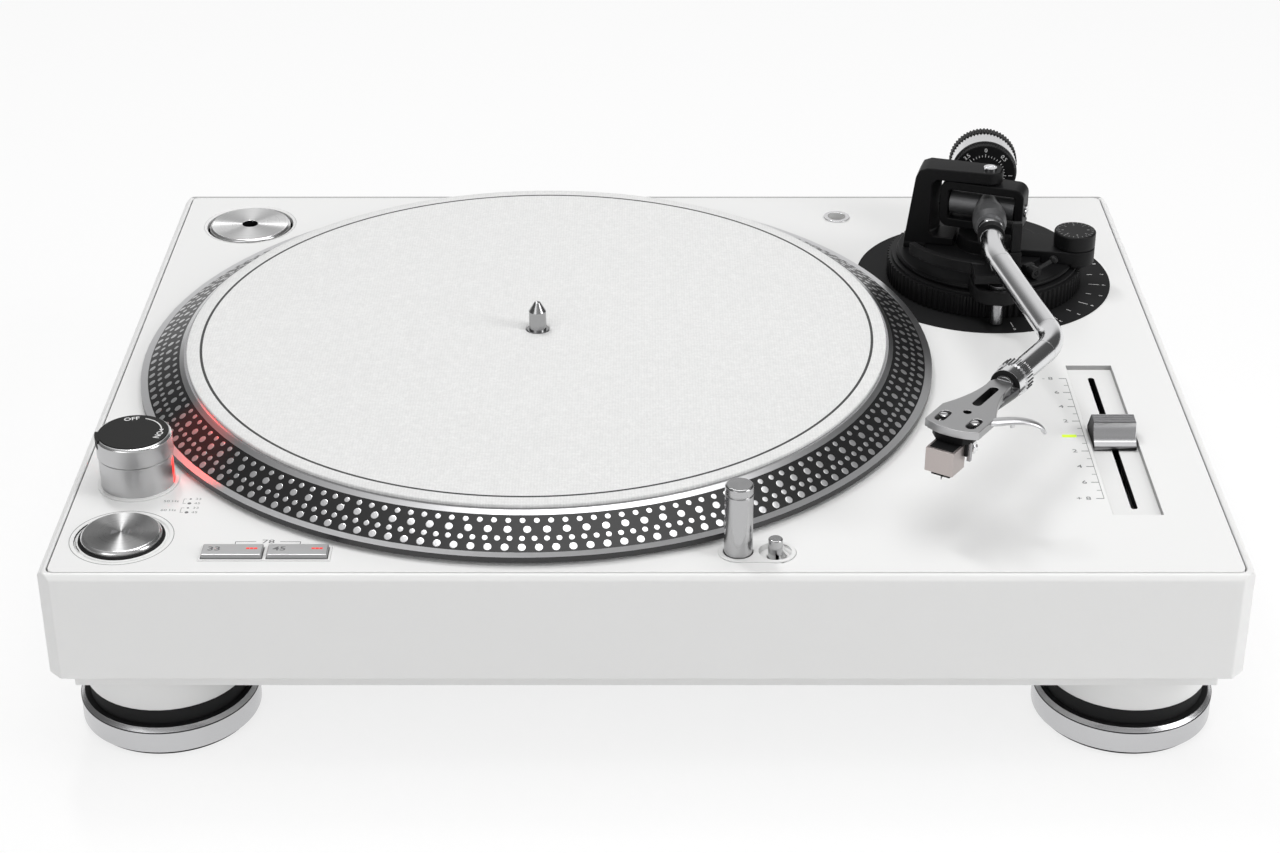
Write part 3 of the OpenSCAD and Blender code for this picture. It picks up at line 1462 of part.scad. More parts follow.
module arm_holder() {
  color([0.2, 0.2, 0.21]) difference() {
    union() {
      in_arm() rotate([0, 0, gimbal_yaw]) translate([-axle_left, 0, 0]) rotate([0, 90, 0])
        cylinder(r = axle_r, h = axle_left + axle_right);
      along_arm() rotate([90, 0, 0]) rotate_extrude() polygon([
        [0, -holder_back], [shaft_r + 0.6, -holder_back], [axle_r + 0.4, -2], [axle_r + 0.6, 5],
        [holder_r, 14], [holder_r, holder_len - 4], [holder_r - 1, holder_len], [0, holder_len]]);
    }
    in_arm() rotate([0, 0, gimbal_yaw]) {
      translate([-axle_left - overlap, 0, 0]) rotate([0, 90, 0])
        cylinder(r = pin_r + run_gap, h = pin_reach + overlap + run_gap);
      translate([axle_right + overlap, 0, 0]) rotate([0, -90, 0])
        cylinder(r = pin_r + run_gap, h = pin_reach + overlap + run_gap);
    }
  }
}

module arm_tube() {
  tube_end = tube_run3 - collar_len;
  color(steel) difference() {
    union() {
      s_path(tube_r, holder_len, tube_run3);
      along_arm() translate([0, -holder_len, 0]) rotate([90, 0, 0]) rotate_extrude() polygon(concat(
        [[0, 0]], [for (a = [-30 : 15 : 60]) [ball_r * cos(a), ball_r * (sin(a) + 0.5)]],
        [[0, ball_r * (sin(60) + 0.5)]]));
      along_arm() forward_bar(holder_len + 7, tube_run1 - 1.5, ball_r + 0.4);
    }
    after_bend2() forward_bar(tube_run3 - plug_len - 1.5, tube_run3 + overlap, plug_r + run_gap);
    s_path(tube_r - tube_wall - 0.2, holder_len + 8, tube_end - 2);
  }
}

module rear_shaft() {
  color([0.3, 0.3, 0.31]) along_arm() forward_bar(-shaft_end, -holder_back, shaft_r);
}

module weight_sleeve() {
  color(black) along_arm() difference() {
    forward_bar(-weight_to, -dial_from, sleeve_r);
    forward_bar(-weight_to - overlap, -dial_from + overlap, shaft_r + run_gap);
  }
}

module counterweight() {
  color(steel) along_arm() difference() {
    union() {
      forward_bar(-weight_to + grip_len, -weight_from, weight_r);
      translate([0, weight_to, 0]) rotate([90, 0, 0]) ribbed_disc(grip_r, 0.5, grip_ribs, grip_len);
    }
    forward_bar(-weight_to - overlap, -weight_from + overlap, sleeve_r + run_gap);
  }
}

module pressure_dial() {
  color(black) along_arm() difference() {
    forward_bar(-dial_from - dial_t, -dial_from, dial_r);
    forward_bar(-dial_from - dial_t - overlap, -dial_from + overlap, sleeve_r + run_gap);
  }
}

module locking_collar() {
  color(steel) at_head() difference() {
    union() {
      translate([0, collar_len, 0]) rotate([90, 0, 0])
        ribbed_disc(collar_r, 0.5, collar_ribs, collar_grip);
      forward_bar(-collar_len, 0, collar_front_r);
    }
    forward_bar(-collar_len - overlap, overlap, tube_r + run_gap);
  }
}

module headshell() {
  w = shell_w / 2;
  n = neck_w / 2;
  color(steel) at_head() difference() {
    union() {
      translate([0, 0, plate_low]) linear_extrude(shell_t) shell_outline(n * 0.7, w);
      difference() {
        translate([0, -slide_gap, 0]) rotate([90, 0, 0]) rotate_extrude() polygon([
          [0, 0], [n, 0], [n * 0.85, neck_len], [1, neck_len + 8], [0, neck_len + 8]]);
        translate([-n, -neck_len - 9, shell_up - neck_step]) cube([2 * n, neck_len + 9, 2 * n]);
      }
      forward_bar(-plug_len, slide_gap + overlap, plug_r);
    }
    translate([0, -shell_plate_from + 1.5 + shell_slot_len / 2, -n]) linear_extrude(2 * n)
      rotate(90) stadium(shell_slot_len, shell_slot_w);
    for (x = [-1, 1]) translate([x * cart_pitch / 2, -shell_len + 4 + cart_slot_len / 2,
      plate_low - overlap])
      linear_extrude(shell_t + 2 * overlap) rotate(90) stadium(cart_slot_len, cart_slot_w);
    translate([0, -shell_plate_from - 5, plate_low - overlap])
      cylinder(r = 1.5, h = shell_t + 2 * overlap);
  }
}

module shell_outline(tip, w) {
  bow_r = shell_w;
  bow = bow_r - sqrt(bow_r * bow_r - w * w);
  flare = shell_plate_from + 3 - tip;
  side = [for (i = [0 : 10]) [tip + (w - tip) * i * i / 100, -slide_gap - tip - flare * i / 10]];
  back = [for (i = [10 : -1 : 0]) [-side[i][0], side[i][1]]];
  intersection() {
    union() {
      translate([0, -slide_gap - tip]) circle(r = tip);
      polygon(concat(side, [[w, -shell_len], [-w, -shell_len]], back));
    }
    union() {
      translate([0, -shell_len + bow_r]) circle(r = bow_r);
      translate([-shell_w, -shell_len + bow + 1]) square([2 * shell_w, shell_len]);
    }
  }
}

module finger_lift() {
  w = shell_w / 2;
  arc_r = 20;
  root_y = -shell_plate_from - 3 - lift_w;
  color(steel) at_head() translate([w, root_y, shell_up - lift_t - 0.4]) {
    cube([2, lift_w, lift_t]);
    translate([2, lift_w + arc_r, 0]) rotate([0, 0, -90]) rotate_extrude(angle = 34)
      translate([arc_r, 0]) square([lift_w, lift_t]);
  }
}

module cartridge() {
  mount_low = plate_low - cart_h;
  tip = -stylus_drop;
  color([0.7, 0.66, 0.65]) at_head() {
    translate([-cart_w / 2, -shell_len + 1, mount_low]) cube([cart_w, cart_len, cart_h]);
    translate([-stylus_w / 2, -stylus_reach - 3, tip + 1.8])
      cube([stylus_w, stylus_len, mount_low - tip - 1.8 + 3]);
    translate([0, -stylus_reach, tip]) cylinder(r1 = 0.25, r2 = 0.6, h = 2.2);
  }
}

// The feet

module foot(f) {
  color(steel) translate([f.x, f.y, 0]) rotate_extrude() polygon([
    [0, 0], [sole_r, 0], [sole_r, sole_h], [foot_r, sole_h], [foot_r, foot_top - foot_bevel],
    [foot_r - foot_bevel, foot_top], [stud_r, foot_top],
    [stud_r, boss_z + stud_len], [0, boss_z + stud_len]]);
}

module foot_front_left() { foot(FEET[0]); }

module foot_front_right() { foot(FEET[1]); }

module foot_rear_left() { foot(FEET[2]); }

module foot_rear_right() { foot(FEET[3]); }

body_shell();
top_plate();
base_tray();
foot_dampers();
base_screws();
scale_disc();
strobe_pillar();
strobe_window();
speed_bezel();
lamp_plate();
tempo_bed();
tempo_lamp();
headshell_socket();
motor_base();
stator();
spindle_bearing();
circuit_board();
foot_bosses();
rear_panel();
output_jacks();
power_inlet();
platter();
rotor_magnet();
spindle();
slipmat();
adaptor_45();
power_knob();
start_button();
speed_key_33();
speed_key_45();
lamp_button();
target_lamp();
tempo_knob();
height_ring();
arm_base();
gimbal_arch();
arch_screw();
antiskate_bracket();
arm_rest();
lift_cylinder();
antiskate_knob();
cue_lever();
arm_lifter();
arm_clamp();
gimbal_frame();
gimbal_screws();
arm_holder();
arm_tube();
rear_shaft();
weight_sleeve();
counterweight();
pressure_dial();
headshell();
finger_lift();
cartridge();
locking_collar();
foot_front_left();
foot_front_right();
foot_rear_left();
foot_rear_right();
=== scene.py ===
"""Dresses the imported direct-drive deck: camera, light, materials and the pieces that only the eye needs."""
import json
import math

import bmesh
import bpy
from mathutils import Matrix, Vector


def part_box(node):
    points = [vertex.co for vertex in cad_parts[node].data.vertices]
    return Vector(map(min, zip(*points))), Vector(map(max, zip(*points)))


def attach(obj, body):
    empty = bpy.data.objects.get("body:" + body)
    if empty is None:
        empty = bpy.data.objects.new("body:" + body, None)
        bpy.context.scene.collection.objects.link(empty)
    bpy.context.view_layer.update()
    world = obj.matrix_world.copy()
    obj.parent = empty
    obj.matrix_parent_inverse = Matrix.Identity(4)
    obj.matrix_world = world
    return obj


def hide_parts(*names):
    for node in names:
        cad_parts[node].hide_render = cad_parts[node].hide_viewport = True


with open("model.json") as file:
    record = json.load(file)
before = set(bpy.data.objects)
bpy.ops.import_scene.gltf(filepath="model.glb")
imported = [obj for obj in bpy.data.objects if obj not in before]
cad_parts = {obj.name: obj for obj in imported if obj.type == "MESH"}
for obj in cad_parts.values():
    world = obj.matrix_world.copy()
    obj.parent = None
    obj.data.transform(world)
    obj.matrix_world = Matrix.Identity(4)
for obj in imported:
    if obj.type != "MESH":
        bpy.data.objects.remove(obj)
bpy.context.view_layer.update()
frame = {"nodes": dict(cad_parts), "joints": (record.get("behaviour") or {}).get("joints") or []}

# Pieces are modelled in millimetres in the deck's frame and scaled to metres when they are finished
MM = 0.001
NODES = frame["nodes"]
JOINTS = {joint["name"]: joint for joint in frame["joints"]}

# Camera, fitted to the photograph
LENS = 70.0
SENSOR = 36.0
CAMERA_PLACE = Vector((0.0, -940.76, 571.31))
CAMERA_PITCH = 61.24
CAMERA_SHIFT = -0.00496

# How far printed marks go into and stand above their surface
PRINT_IN = 0.05
PRINT_UP = 0.03

# Least roughness that a pattern may bring a surface to
SMOOTHEST = 0.02


def low(name):
    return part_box(name)[0] / MM


def high(name):
    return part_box(name)[1] / MM


def middle(name):
    return (low(name) + high(name)) / 2


def joint_place(name):
    return Vector(JOINTS[name]["pos_m"]) / MM


def joint_axis(name):
    return Vector(JOINTS[name]["axis"]).normalized()


def at(x, y, z, turn=0.0):
    """A place in the deck's frame, turned about Z by so many degrees."""
    return Matrix.Translation((x, y, z)) @ Matrix.Rotation(math.radians(turn), 4, "Z")


def show(thing):
    bpy.context.scene.collection.objects.link(thing)


def place_of(origin, back, up):
    """The place whose Y axis points back and whose Z axis points up, as in the arm's own frames."""
    side = back.cross(up).normalized()
    up = side.cross(back).normalized()
    axes = Matrix((side, back.normalized(), up)).transposed()
    return Matrix.Translation(origin) @ axes.to_4x4()


# Levels and centres read from the frame
DECK_TOP = high("top_plate").z
PLATTER = middle("platter")
PLATTER_R = (high("platter").x - low("platter").x) / 2
SEAT = high("platter").z
MAT_R = (high("slipmat").x - low("slipmat").x) / 2
PIVOT = joint_place("arm_swing")

# The arm lies slightly nose up about the gimbal's axis, so its frames lean with it
ARM_LIFT = 1.6
ARM_UP = Matrix.Rotation(math.radians(ARM_LIFT), 3, joint_axis("arm_tilt")) @ Vector((0, 0, 1))
ARM = place_of(joint_place("arm_tilt"), joint_axis("weight_travel"), ARM_UP)
HEAD = place_of(joint_place("collar_turn"), -joint_axis("headshell_draw"), ARM_UP)


# Materials

def principled(material):
    return material.node_tree.nodes["Principled BSDF"]


def new_material(name, color, roughness, metallic=0.0, **sockets):
    """A principled material; further sockets are named with _ for each space."""
    material = bpy.data.materials.new(name)
    material.use_nodes = True
    shader = principled(material)
    shader.inputs["Base Color"].default_value = (*color, 1.0)
    shader.inputs["Roughness"].default_value = roughness
    shader.inputs["Metallic"].default_value = metallic
    for socket, value in sockets.items():
        shader.inputs[socket.replace("_", " ")].default_value = value
    return material


def node(material, kind, inputs, **settings):
    """Adds a shader node; an input is a value or the output that feeds it."""
    made = material.node_tree.nodes.new("ShaderNode" + kind)
    for name, value in settings.items():
        setattr(made, name, value)
    for name, value in inputs.items():
        if isinstance(value, bpy.types.NodeSocket):
            material.node_tree.links.new(value, made.inputs[name])
        else:
            made.inputs[name].default_value = value
    return made


def mixed(material, factor, first, second):
    """The output of a colour mix."""
    return node(material, "Mix", {0: factor, 6: first, 7: second}, data_type="RGBA").outputs[2]


def math_out(material, operation, *values):
    """The output of a sum on values, or on the outputs that feed them."""
    return node(material, "Math", dict(enumerate(values)), operation=operation).outputs["Value"]


def vector_out(material, operation, *vectors):
    """The output of a sum on vectors."""
    return node(material, "VectorMath", dict(enumerate(vectors)), operation=operation).outputs["Vector"]


def shade(material, pattern, tint, rough, bump):
    """Lets a 0 to 1 pattern vary a material's colour, roughness and height in mm; returns the colour."""
    shader = principled(material)
    links = material.node_tree.links
    base = shader.inputs["Base Color"].default_value[:3]
    roughness = shader.inputs["Roughness"].default_value
    dark = (*[c * (1 - tint) for c in base], 1.0)
    light = (*[min(1.0, c * (1 + tint)) for c in base], 1.0)
    color = mixed(material, pattern, dark, light)
    links.new(color, shader.inputs["Base Color"])
    least, most = max(SMOOTHEST, roughness - rough), min(1.0, roughness + rough)
    spread = node(material, "MapRange", {"Value": pattern, "To Min": least, "To Max": most})
    links.new(spread.outputs["Result"], shader.inputs["Roughness"])
    relief = node(material, "Bump", {"Height": pattern, "Strength": 1.0, "Distance": bump * MM})
    links.new(relief.outputs["Normal"], shader.inputs["Normal"])
    return color


def noise(material, size, stretch=(1.0, 1.0, 1.0)):
    """A noise pattern with a grain of so many mm, drawn out along the axes with a small stretch."""
    point = node(material, "TexCoord", {}).outputs["Object"]
    drawn = vector_out(material, "MULTIPLY", point, stretch)
    settings = {"Vector": drawn, "Scale": 1 / (size * MM), "Detail": 4.0, "Roughness": 0.6}
    return node(material, "TexNoise", settings).outputs["Fac"]


def grained(name, color, roughness, size, bump, tint=0.04, rough=0.05, stretch=(1.0, 1.0, 1.0), **sockets):
    """A material with an even or drawn-out grain."""
    material = new_material(name, color, roughness, **sockets)
    shade(material, noise(material, size, stretch), tint, rough, bump)
    return material


def radius_from(material, centre):
    """Each point's distance in metres from an upright axis through a centre given in mm."""
    point = node(material, "TexCoord", {}).outputs["Object"]
    moved = vector_out(material, "SUBTRACT", point, centre * MM)
    flat = vector_out(material, "MULTIPLY", moved, (1.0, 1.0, 0.0))
    return node(material, "VectorMath", {0: flat}, operation="LENGTH").outputs["Value"]


def turned(name, color, roughness, centre, pitch=0.35, bump=0.004, sweep=0.85, spin=0.0):
    """Metal turned on a lathe about an upright axis: fine rings and a swept highlight."""
    material = new_material(name, color, roughness, metallic=1.0,
                            Anisotropic=sweep, Anisotropic_Rotation=spin)
    ring = math_out(material, "MULTIPLY", radius_from(material, centre), 1 / (pitch * MM))
    rings = node(material, "TexNoise", {"W": ring, "Scale": 1.0, "Detail": 2.0}, noise_dimensions="1D")
    shade(material, rings.outputs["Fac"], 0.08, 0.06, bump)
    tangent = node(material, "Tangent", {}, direction_type="RADIAL", axis="Z").outputs["Tangent"]
    shader = principled(material)
    material.node_tree.links.new(tangent, shader.inputs["Tangent"])
    return material


def lit(name, color, strength):
    """A glowing lens with a faint mottle."""
    material = grained(name, color, 0.3, 0.6, 0.01, tint=0.2)
    shader = principled(material)
    shader.inputs["Emission Color"].default_value = (*color, 1.0)
    shader.inputs["Emission Strength"].default_value = strength
    return material


# The mat's weave, its printed ring line, and how much loose fibre hides the weave
WEAVE = 1.15
RING_LINE_R = 140.4
RING_LINE_HALF = 0.55
FIBRE_SHARE = 0.78
FIBRE_SIZES = (1.6, 3.2)


def felt_material():
    """Pale pressed felt with a fine weave and one dark ring line."""
    material = new_material("felt", (0.78, 0.78, 0.775), 0.95, Sheen_Weight=0.25, Sheen_Roughness=0.6)
    point = node(material, "TexCoord", {}).outputs["Object"]
    bands = []
    for axis in ("X", "Y"):
        settings = {"Vector": point, "Scale": math.tau / (20 * WEAVE * MM), "Distortion": 2.5,
                    "Detail": 2.0, "Detail Scale": 1.5}
        bands.append(node(material, "TexWave", settings, bands_direction=axis).outputs["Fac"])
    weave = math_out(material, "MULTIPLY", *bands)
    fibres = math_out(material, "MULTIPLY", *[noise(material, size) for size in FIBRE_SIZES])
    blend = node(material, "Mix", {0: FIBRE_SHARE, 2: weave, 3: fibres}).outputs[0]
    spread = {"Value": blend, "From Min": 0.1, "From Max": 0.5}
    color = shade(material, node(material, "MapRange", spread).outputs["Result"], 0.09, 0.03, 0.08)
    radius = radius_from(material, Vector((0, 0, 0)))
    on_line = math_out(material, "COMPARE", radius, RING_LINE_R * MM, RING_LINE_HALF * MM)
    shader = principled(material)
    inked = mixed(material, on_line, color, (0.02, 0.02, 0.02, 1.0))
    material.node_tree.links.new(inked, shader.inputs["Base Color"])
    return material


# Each has its colour, its roughness, and the size and depth of its grain in mm
SHELL = grained("white_shell", (0.82, 0.82, 0.815), 0.3, 0.35, 0.004, tint=0.015)
PLATE = grained("white_plate", (0.85, 0.85, 0.845), 0.34, 0.3, 0.003, tint=0.012)
TRIM = grained("white_trim", (0.8, 0.8, 0.795), 0.4, 0.3, 0.004, tint=0.015)
# Painted shade: grey for the body's rounded back top edge
BACK_EDGE_SHADE = grained("back_edge_painted_shade", (0.4, 0.4, 0.4), 0.5, 0.3, 0.004, tint=0.05)
# Painted shadow: near black for the plate's outer side walls, where the gap to the body is shaded
SEAM_PAINTED_SHADOW = grained("seam_shadow", (0.03, 0.03, 0.03), 0.7, 0.3, 0.004, tint=0.1)
# Painted shade: grey for the walls of the plate's window round the fader
FADER_WALL_SHADE = grained("fader_wall_painted_shade", (0.36, 0.36, 0.36), 0.5, 0.3, 0.004, tint=0.05)
RUBBER = grained("black_rubber", (0.012, 0.012, 0.0125), 0.7, 0.4, 0.03, tint=0.25, rough=0.1,
                 Specular_IOR_Level=0.2)
PLASTIC = grained("black_plastic", (0.008, 0.008, 0.0084), 0.42, 0.25, 0.006, tint=0.25,
                  Specular_IOR_Level=0.18)
PAINT = grained("black_metal", (0.006, 0.006, 0.0064), 0.44, 0.22, 0.008, tint=0.25,
                Specular_IOR_Level=0.16)
CAP = grained("cap_plastic", (0.013, 0.013, 0.0127), 0.55, 0.25, 0.006, tint=0.15,
              Specular_IOR_Level=0.22)
PANEL = grained("panel_plastic", (0.07, 0.07, 0.072), 0.5, 0.25, 0.006, tint=0.12)
HOLDER = grained("dark_metal", (0.15, 0.151, 0.154), 0.42, 0.3, 0.004, tint=0.12, metallic=0.7)
NECK = grained("neck_metal", (0.1, 0.1, 0.103), 0.34, 0.3, 0.004, tint=0.12, metallic=0.8)
CHARCOAL = grained("charcoal_print", (0.012, 0.012, 0.0125), 0.6, 0.5, 0.01, tint=0.4,
                   Specular_IOR_Level=0.12)
BAND = grained("platter_band", (0.011, 0.011, 0.0115), 0.34, 0.3, 0.01, tint=0.3,
               Specular_IOR_Level=0.4)
CHROME = grained("chrome", (0.76, 0.76, 0.77), 0.14, 14.0, 0.001, tint=0.04, rough=0.03, metallic=1.0)
STEEL = grained("steel", (0.4, 0.4, 0.41), 0.28, 0.4, 0.002, tint=0.08, metallic=1.0)
SATIN = grained("satin_aluminium", (0.66, 0.66, 0.67), 0.36, 0.5, 0.002, tint=0.06, metallic=1.0)
CAST = grained("shell_aluminium", (0.5, 0.5, 0.505), 0.34, 0.4, 0.002, tint=0.06, metallic=1.0)
WEIGHT = grained("weight_chrome", (0.7, 0.7, 0.71), 0.17, 2.0, 0.001, tint=0.05, metallic=1.0)
LINED = grained("brushed_aluminium", (0.7, 0.7, 0.705), 0.36, 0.18, 0.001, tint=0.05,
                stretch=(0.02, 1.0, 1.0), metallic=1.0)
KEY_SIDE = grained("key_side", (0.38, 0.38, 0.385), 0.4, 0.3, 0.003, tint=0.1, metallic=0.5)
SMOOTH = grained("smooth_aluminium", (0.57, 0.57, 0.58), 0.22, 0.2, 0.001, tint=0.05,
                 stretch=(0.02, 1.0, 1.0), metallic=1.0)
LIP = grained("platter_lip", (0.7, 0.7, 0.71), 0.3, 0.3, 0.001, tint=0.05, metallic=1.0)
# Painted shade: a darker copy of the knob's metal for its foot and ridge
KNOB_PAINTED_SHADE = grained("knob_painted_shade", (0.25, 0.25, 0.255), 0.32, 0.2, 0.001, tint=0.05,
                     stretch=(0.02, 1.0, 1.0), metallic=1.0)
# Painted shade: a dark copy of the platter's metal for its upright side
RIM_SHADE = grained("platter_side_painted_shade", (0.07, 0.07, 0.071), 0.3, 0.3, 0.002, tint=0.1, metallic=1.0)
DOT = grained("bright_dot", (0.74, 0.74, 0.75), 0.3, 0.3, 0.002, tint=0.04, metallic=0.9)
POLISHED = grained("polished_rim", (0.9, 0.9, 0.905), 0.2, 0.3, 0.001, tint=0.03, metallic=1.0)
RED = lit("red_window", (1.0, 0.025, 0.018), 1.7)
KEY_RED = lit("key_lamp", (0.85, 0.03, 0.02), 0.5)
GREEN = lit("tempo_lamp", (0.62, 0.9, 0.03), 0.35)
BRONZE = grained("bronze", (0.5, 0.33, 0.14), 0.4, 0.5, 0.004, tint=0.15, metallic=1.0)
COPPER = grained("copper", (0.6, 0.27, 0.12), 0.35, 0.5, 0.02, tint=0.2,
                 stretch=(1.0, 1.0, 0.1), metallic=1.0)
FERRITE = grained("ferrite", (0.05, 0.05, 0.053), 0.6, 0.6, 0.01, tint=0.25)
BOARD = grained("board", (0.03, 0.16, 0.07), 0.4, 1.2, 0.004, tint=0.2)
GOLD = grained("gold", (0.78, 0.55, 0.2), 0.22, 0.5, 0.002, tint=0.08, metallic=1.0)
ROSE = grained("rose_silver", (0.5, 0.45, 0.435), 0.3, 0.15, 0.002, tint=0.08, metallic=0.85)
INK = grained("grey_ink", (0.16, 0.16, 0.165), 0.6, 0.3, 0.002, tint=0.15)
WHITE_INK = grained("white_ink", (0.75, 0.75, 0.75), 0.55, 0.3, 0.002, tint=0.06)
FAINT_INK = grained("faint_ink", (0.3, 0.3, 0.3), 0.55, 0.3, 0.002, tint=0.1)
FELT = felt_material()


# Mesh building

def ring_of(bm, place, radius, height, steps):
    """A circle of vertices, or one vertex on the axis."""
    if radius < 1e-6:
        return [bm.verts.new(place @ Vector((0, 0, height)))]
    turn = math.tau / steps
    return [bm.verts.new(place @ Vector((radius * math.cos(i * turn), radius * math.sin(i * turn), height)))
            for i in range(steps)]


def join_rings(bm, first, second, material=0):
    """Faces between two rings, either of which may be one vertex."""
    count = max(len(first), len(second))
    for i in range(count):
        k = (i + 1) % count
        corners = [first[n % len(first)] for n in (i, k)] + [second[n % len(second)] for n in (k, i)]
        face = bm.faces.new(list(dict.fromkeys(corners)))
        face.material_index = material


def lathe(bm, place, profile, steps, closed=False, material=0):
    """Turns (radius, height) points about the place's Z axis."""
    rings = [ring_of(bm, place, r, z, steps) for r, z in profile]
    for first, second in zip(rings, rings[1:]):
        join_rings(bm, first, second, material)
    if closed:
        join_rings(bm, rings[-1], rings[0], material)


def slab(bm, place, outline, bottom, top, material=0):
    """A flat outline raised from one height to another."""
    lower = [bm.verts.new(place @ Vector((x, y, bottom))) for x, y in outline]
    upper = [bm.verts.new(place @ Vector((x, y, top))) for x, y in outline]
    faces = [bm.faces.new(lower[::-1]), bm.faces.new(upper)]
    for i in range(len(outline)):
        k = (i + 1) % len(outline)
        faces.append(bm.faces.new([lower[i], lower[k], upper[k], upper[i]]))
    for face in faces:
        face.material_index = material


def rectangle(width, depth, x=0.0, y=0.0):
    return [(x - width / 2, y - depth / 2), (x + width / 2, y - depth / 2),
            (x + width / 2, y + depth / 2), (x - width / 2, y + depth / 2)]


def circle(radius, steps):
    turn = math.tau / steps
    return [(radius * math.cos(i * turn), radius * math.sin(i * turn)) for i in range(steps)]


def arc_band(inner, outer, start, end, steps=24):
    """The outline of a part of a ring, between two angles in degrees."""
    angles = [math.radians(start + (end - start) * i / steps) for i in range(steps + 1)]
    outside = [(outer * math.cos(a), outer * math.sin(a)) for a in angles]
    inside = [(inner * math.cos(a), inner * math.sin(a)) for a in reversed(angles)]
    return outside + inside


def printed(bm, place, outline, material=0):
    slab(bm, place, outline, -PRINT_IN, PRINT_UP, material)


def printed_ring(bm, place, radius, width, material=0):
    """A whole printed circle line."""
    inner, outer = radius - width / 2, radius + width / 2
    profile = [(inner, -PRINT_IN), (outer, -PRINT_IN), (outer, PRINT_UP), (inner, PRINT_UP)]
    lathe(bm, place, profile, 96, closed=True, material=material)


def words(bm, place, text, height, material=0, bold=0.0, stretch=1.0):
    """Generic figures and letters, centred on the place and printed on its XY plane."""
    curve = bpy.data.curves.new("words", "FONT")
    curve.body = text
    curve.size = height * 1.38
    curve.align_x = "CENTER"
    curve.align_y = "CENTER"
    curve.offset = bold
    curve.extrude = (PRINT_IN + PRINT_UP) / 2
    curve.resolution_u = 3
    holder = bpy.data.objects.new("words", curve)
    mesh = bpy.data.meshes.new_from_object(holder)
    sink = Matrix.Translation((0, 0, (PRINT_UP - PRINT_IN) / 2))
    mesh.transform(place @ sink @ Matrix.Diagonal((stretch, 1, 1, 1)))
    first = len(bm.faces)
    bm.from_mesh(mesh)
    bm.faces.ensure_lookup_table()
    for face in bm.faces[first:]:
        face.material_index = material
    bpy.data.objects.remove(holder)
    bpy.data.curves.remove(curve)
    bpy.data.meshes.remove(mesh)


def tube(bm, points, radii, steps=12, flat=1.0, up=Vector((0, 0, 1)), material=0):
    """Sweeps an oval along points, each with its own radius across and a height of flat times it."""
    rings = []
    for i, point in enumerate(points):
        ahead = points[min(i + 1, len(points) - 1)] - points[max(i - 1, 0)]
        side = ahead.cross(up).normalized()
        rise = side.cross(ahead).normalized() * flat
        ring = []
        for k in range(steps):
            a = k * math.tau / steps
            ring.append(bm.verts.new(point + (side * math.cos(a) + rise * math.sin(a)) * radii[i]))
        rings.append(ring)
    for first, second in zip(rings, rings[1:]):
        join_rings(bm, first, second, material)
    bm.faces.new(rings[0][::-1]).material_index = material
    bm.faces.new(rings[-1]).material_index = material


def piece(name, bm, materials, body, origin=Vector((0, 0, 0)), crease=35.0, bevel=0.0):
    """Turns a mesh built in mm into a finished piece that rides on a body."""
    bmesh.ops.recalc_face_normals(bm, faces=bm.faces)
    mesh = bpy.data.meshes.new(name)
    bm.to_mesh(mesh)
    bm.free()
    mesh.transform(Matrix.Scale(MM, 4) @ Matrix.Translation(-origin))
    for material in materials:
        mesh.materials.append(material)
    mesh.shade_smooth()
    mesh.set_sharp_from_angle(angle=math.radians(crease))
    made = bpy.data.objects.new(name, mesh)
    made.location = origin * MM
    show(made)
    if bevel:
        round_edges(made, bevel)
    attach(made, body)
    return made


def round_edges(thing, width):
    """Rounds hard edges so that they catch the light."""
    edge = thing.modifiers.new("rounded", "BEVEL")
    edge.width = width * MM
    edge.segments = 2
    edge.limit_method = "ANGLE"
    edge.angle_limit = math.radians(32)
    edge.use_clamp_overlap = False
    thing.modifiers.new("even_normals", "WEIGHTED_NORMAL").keep_sharp = False


# The frame's own nodes

def dress(name, *materials):
    """Gives a node its materials."""
    mesh = NODES[name].data
    mesh.materials.clear()
    for material in materials:
        mesh.materials.append(material)


def paint(name, index, inside):
    """Gives faces another material of the node where the rule holds for their middle, in mm, and normal."""
    for face in NODES[name].data.polygons:
        if inside(face.center / MM, face.normal):
            face.material_index = index


def soften(name, width):
    """Joins a node's split faces and rounds its edges, with modifiers alone."""
    thing = NODES[name]
    mesh = thing.data
    if "custom_normal" in mesh.attributes:
        mesh.attributes.remove(mesh.attributes["custom_normal"])
    mesh.shade_smooth()
    weld = thing.modifiers.new("weld", "WELD")
    weld.merge_threshold = 0.01 * MM
    clean = thing.modifiers.new("flat_faces", "DECIMATE")
    clean.decimate_type = "DISSOLVE"
    clean.delimit = {"MATERIAL"}
    clean.angle_limit = math.radians(0.4)
    round_edges(thing, width)


def turned_node(name, color, roughness, **settings):
    """Metal turned about a node's own axis."""
    return turned("turned_" + name, color, roughness, middle(name), **settings)


def switch_metal(name):
    """The dull turned metal of the switch and its pillar."""
    return turned_node(name, (0.55, 0.55, 0.555), 0.4, sweep=0.3)


FEET = ("foot_front_left", "foot_front_right", "foot_rear_left", "foot_rear_right")

# Nodes that are of one material all over
PLAIN_NODES = (
    (SHELL, "base_tray foot_bosses"), (TRIM, "speed_bezel lamp_plate"), (PANEL, "rear_panel power_inlet"),
    (RUBBER, "foot_dampers"), (CHARCOAL, "scale_disc"), (RED, "strobe_window"), (GREEN, "tempo_lamp"),
    (GOLD, "output_jacks"), (COPPER, "stator"), (BRONZE, "spindle_bearing"), (FERRITE, "rotor_magnet"),
    (BOARD, "circuit_board"), (CHROME, "arch_screw locking_collar"), (HOLDER, "arm_holder"),
    (STEEL, "base_screws motor_base lift_cylinder rear_shaft"),
    (PAINT, "arm_base gimbal_arch antiskate_bracket gimbal_frame"),
    (PLASTIC, "height_ring arm_rest antiskate_knob cue_lever arm_lifter arm_clamp weight_sleeve"),
    (PLASTIC, "pressure_dial"))

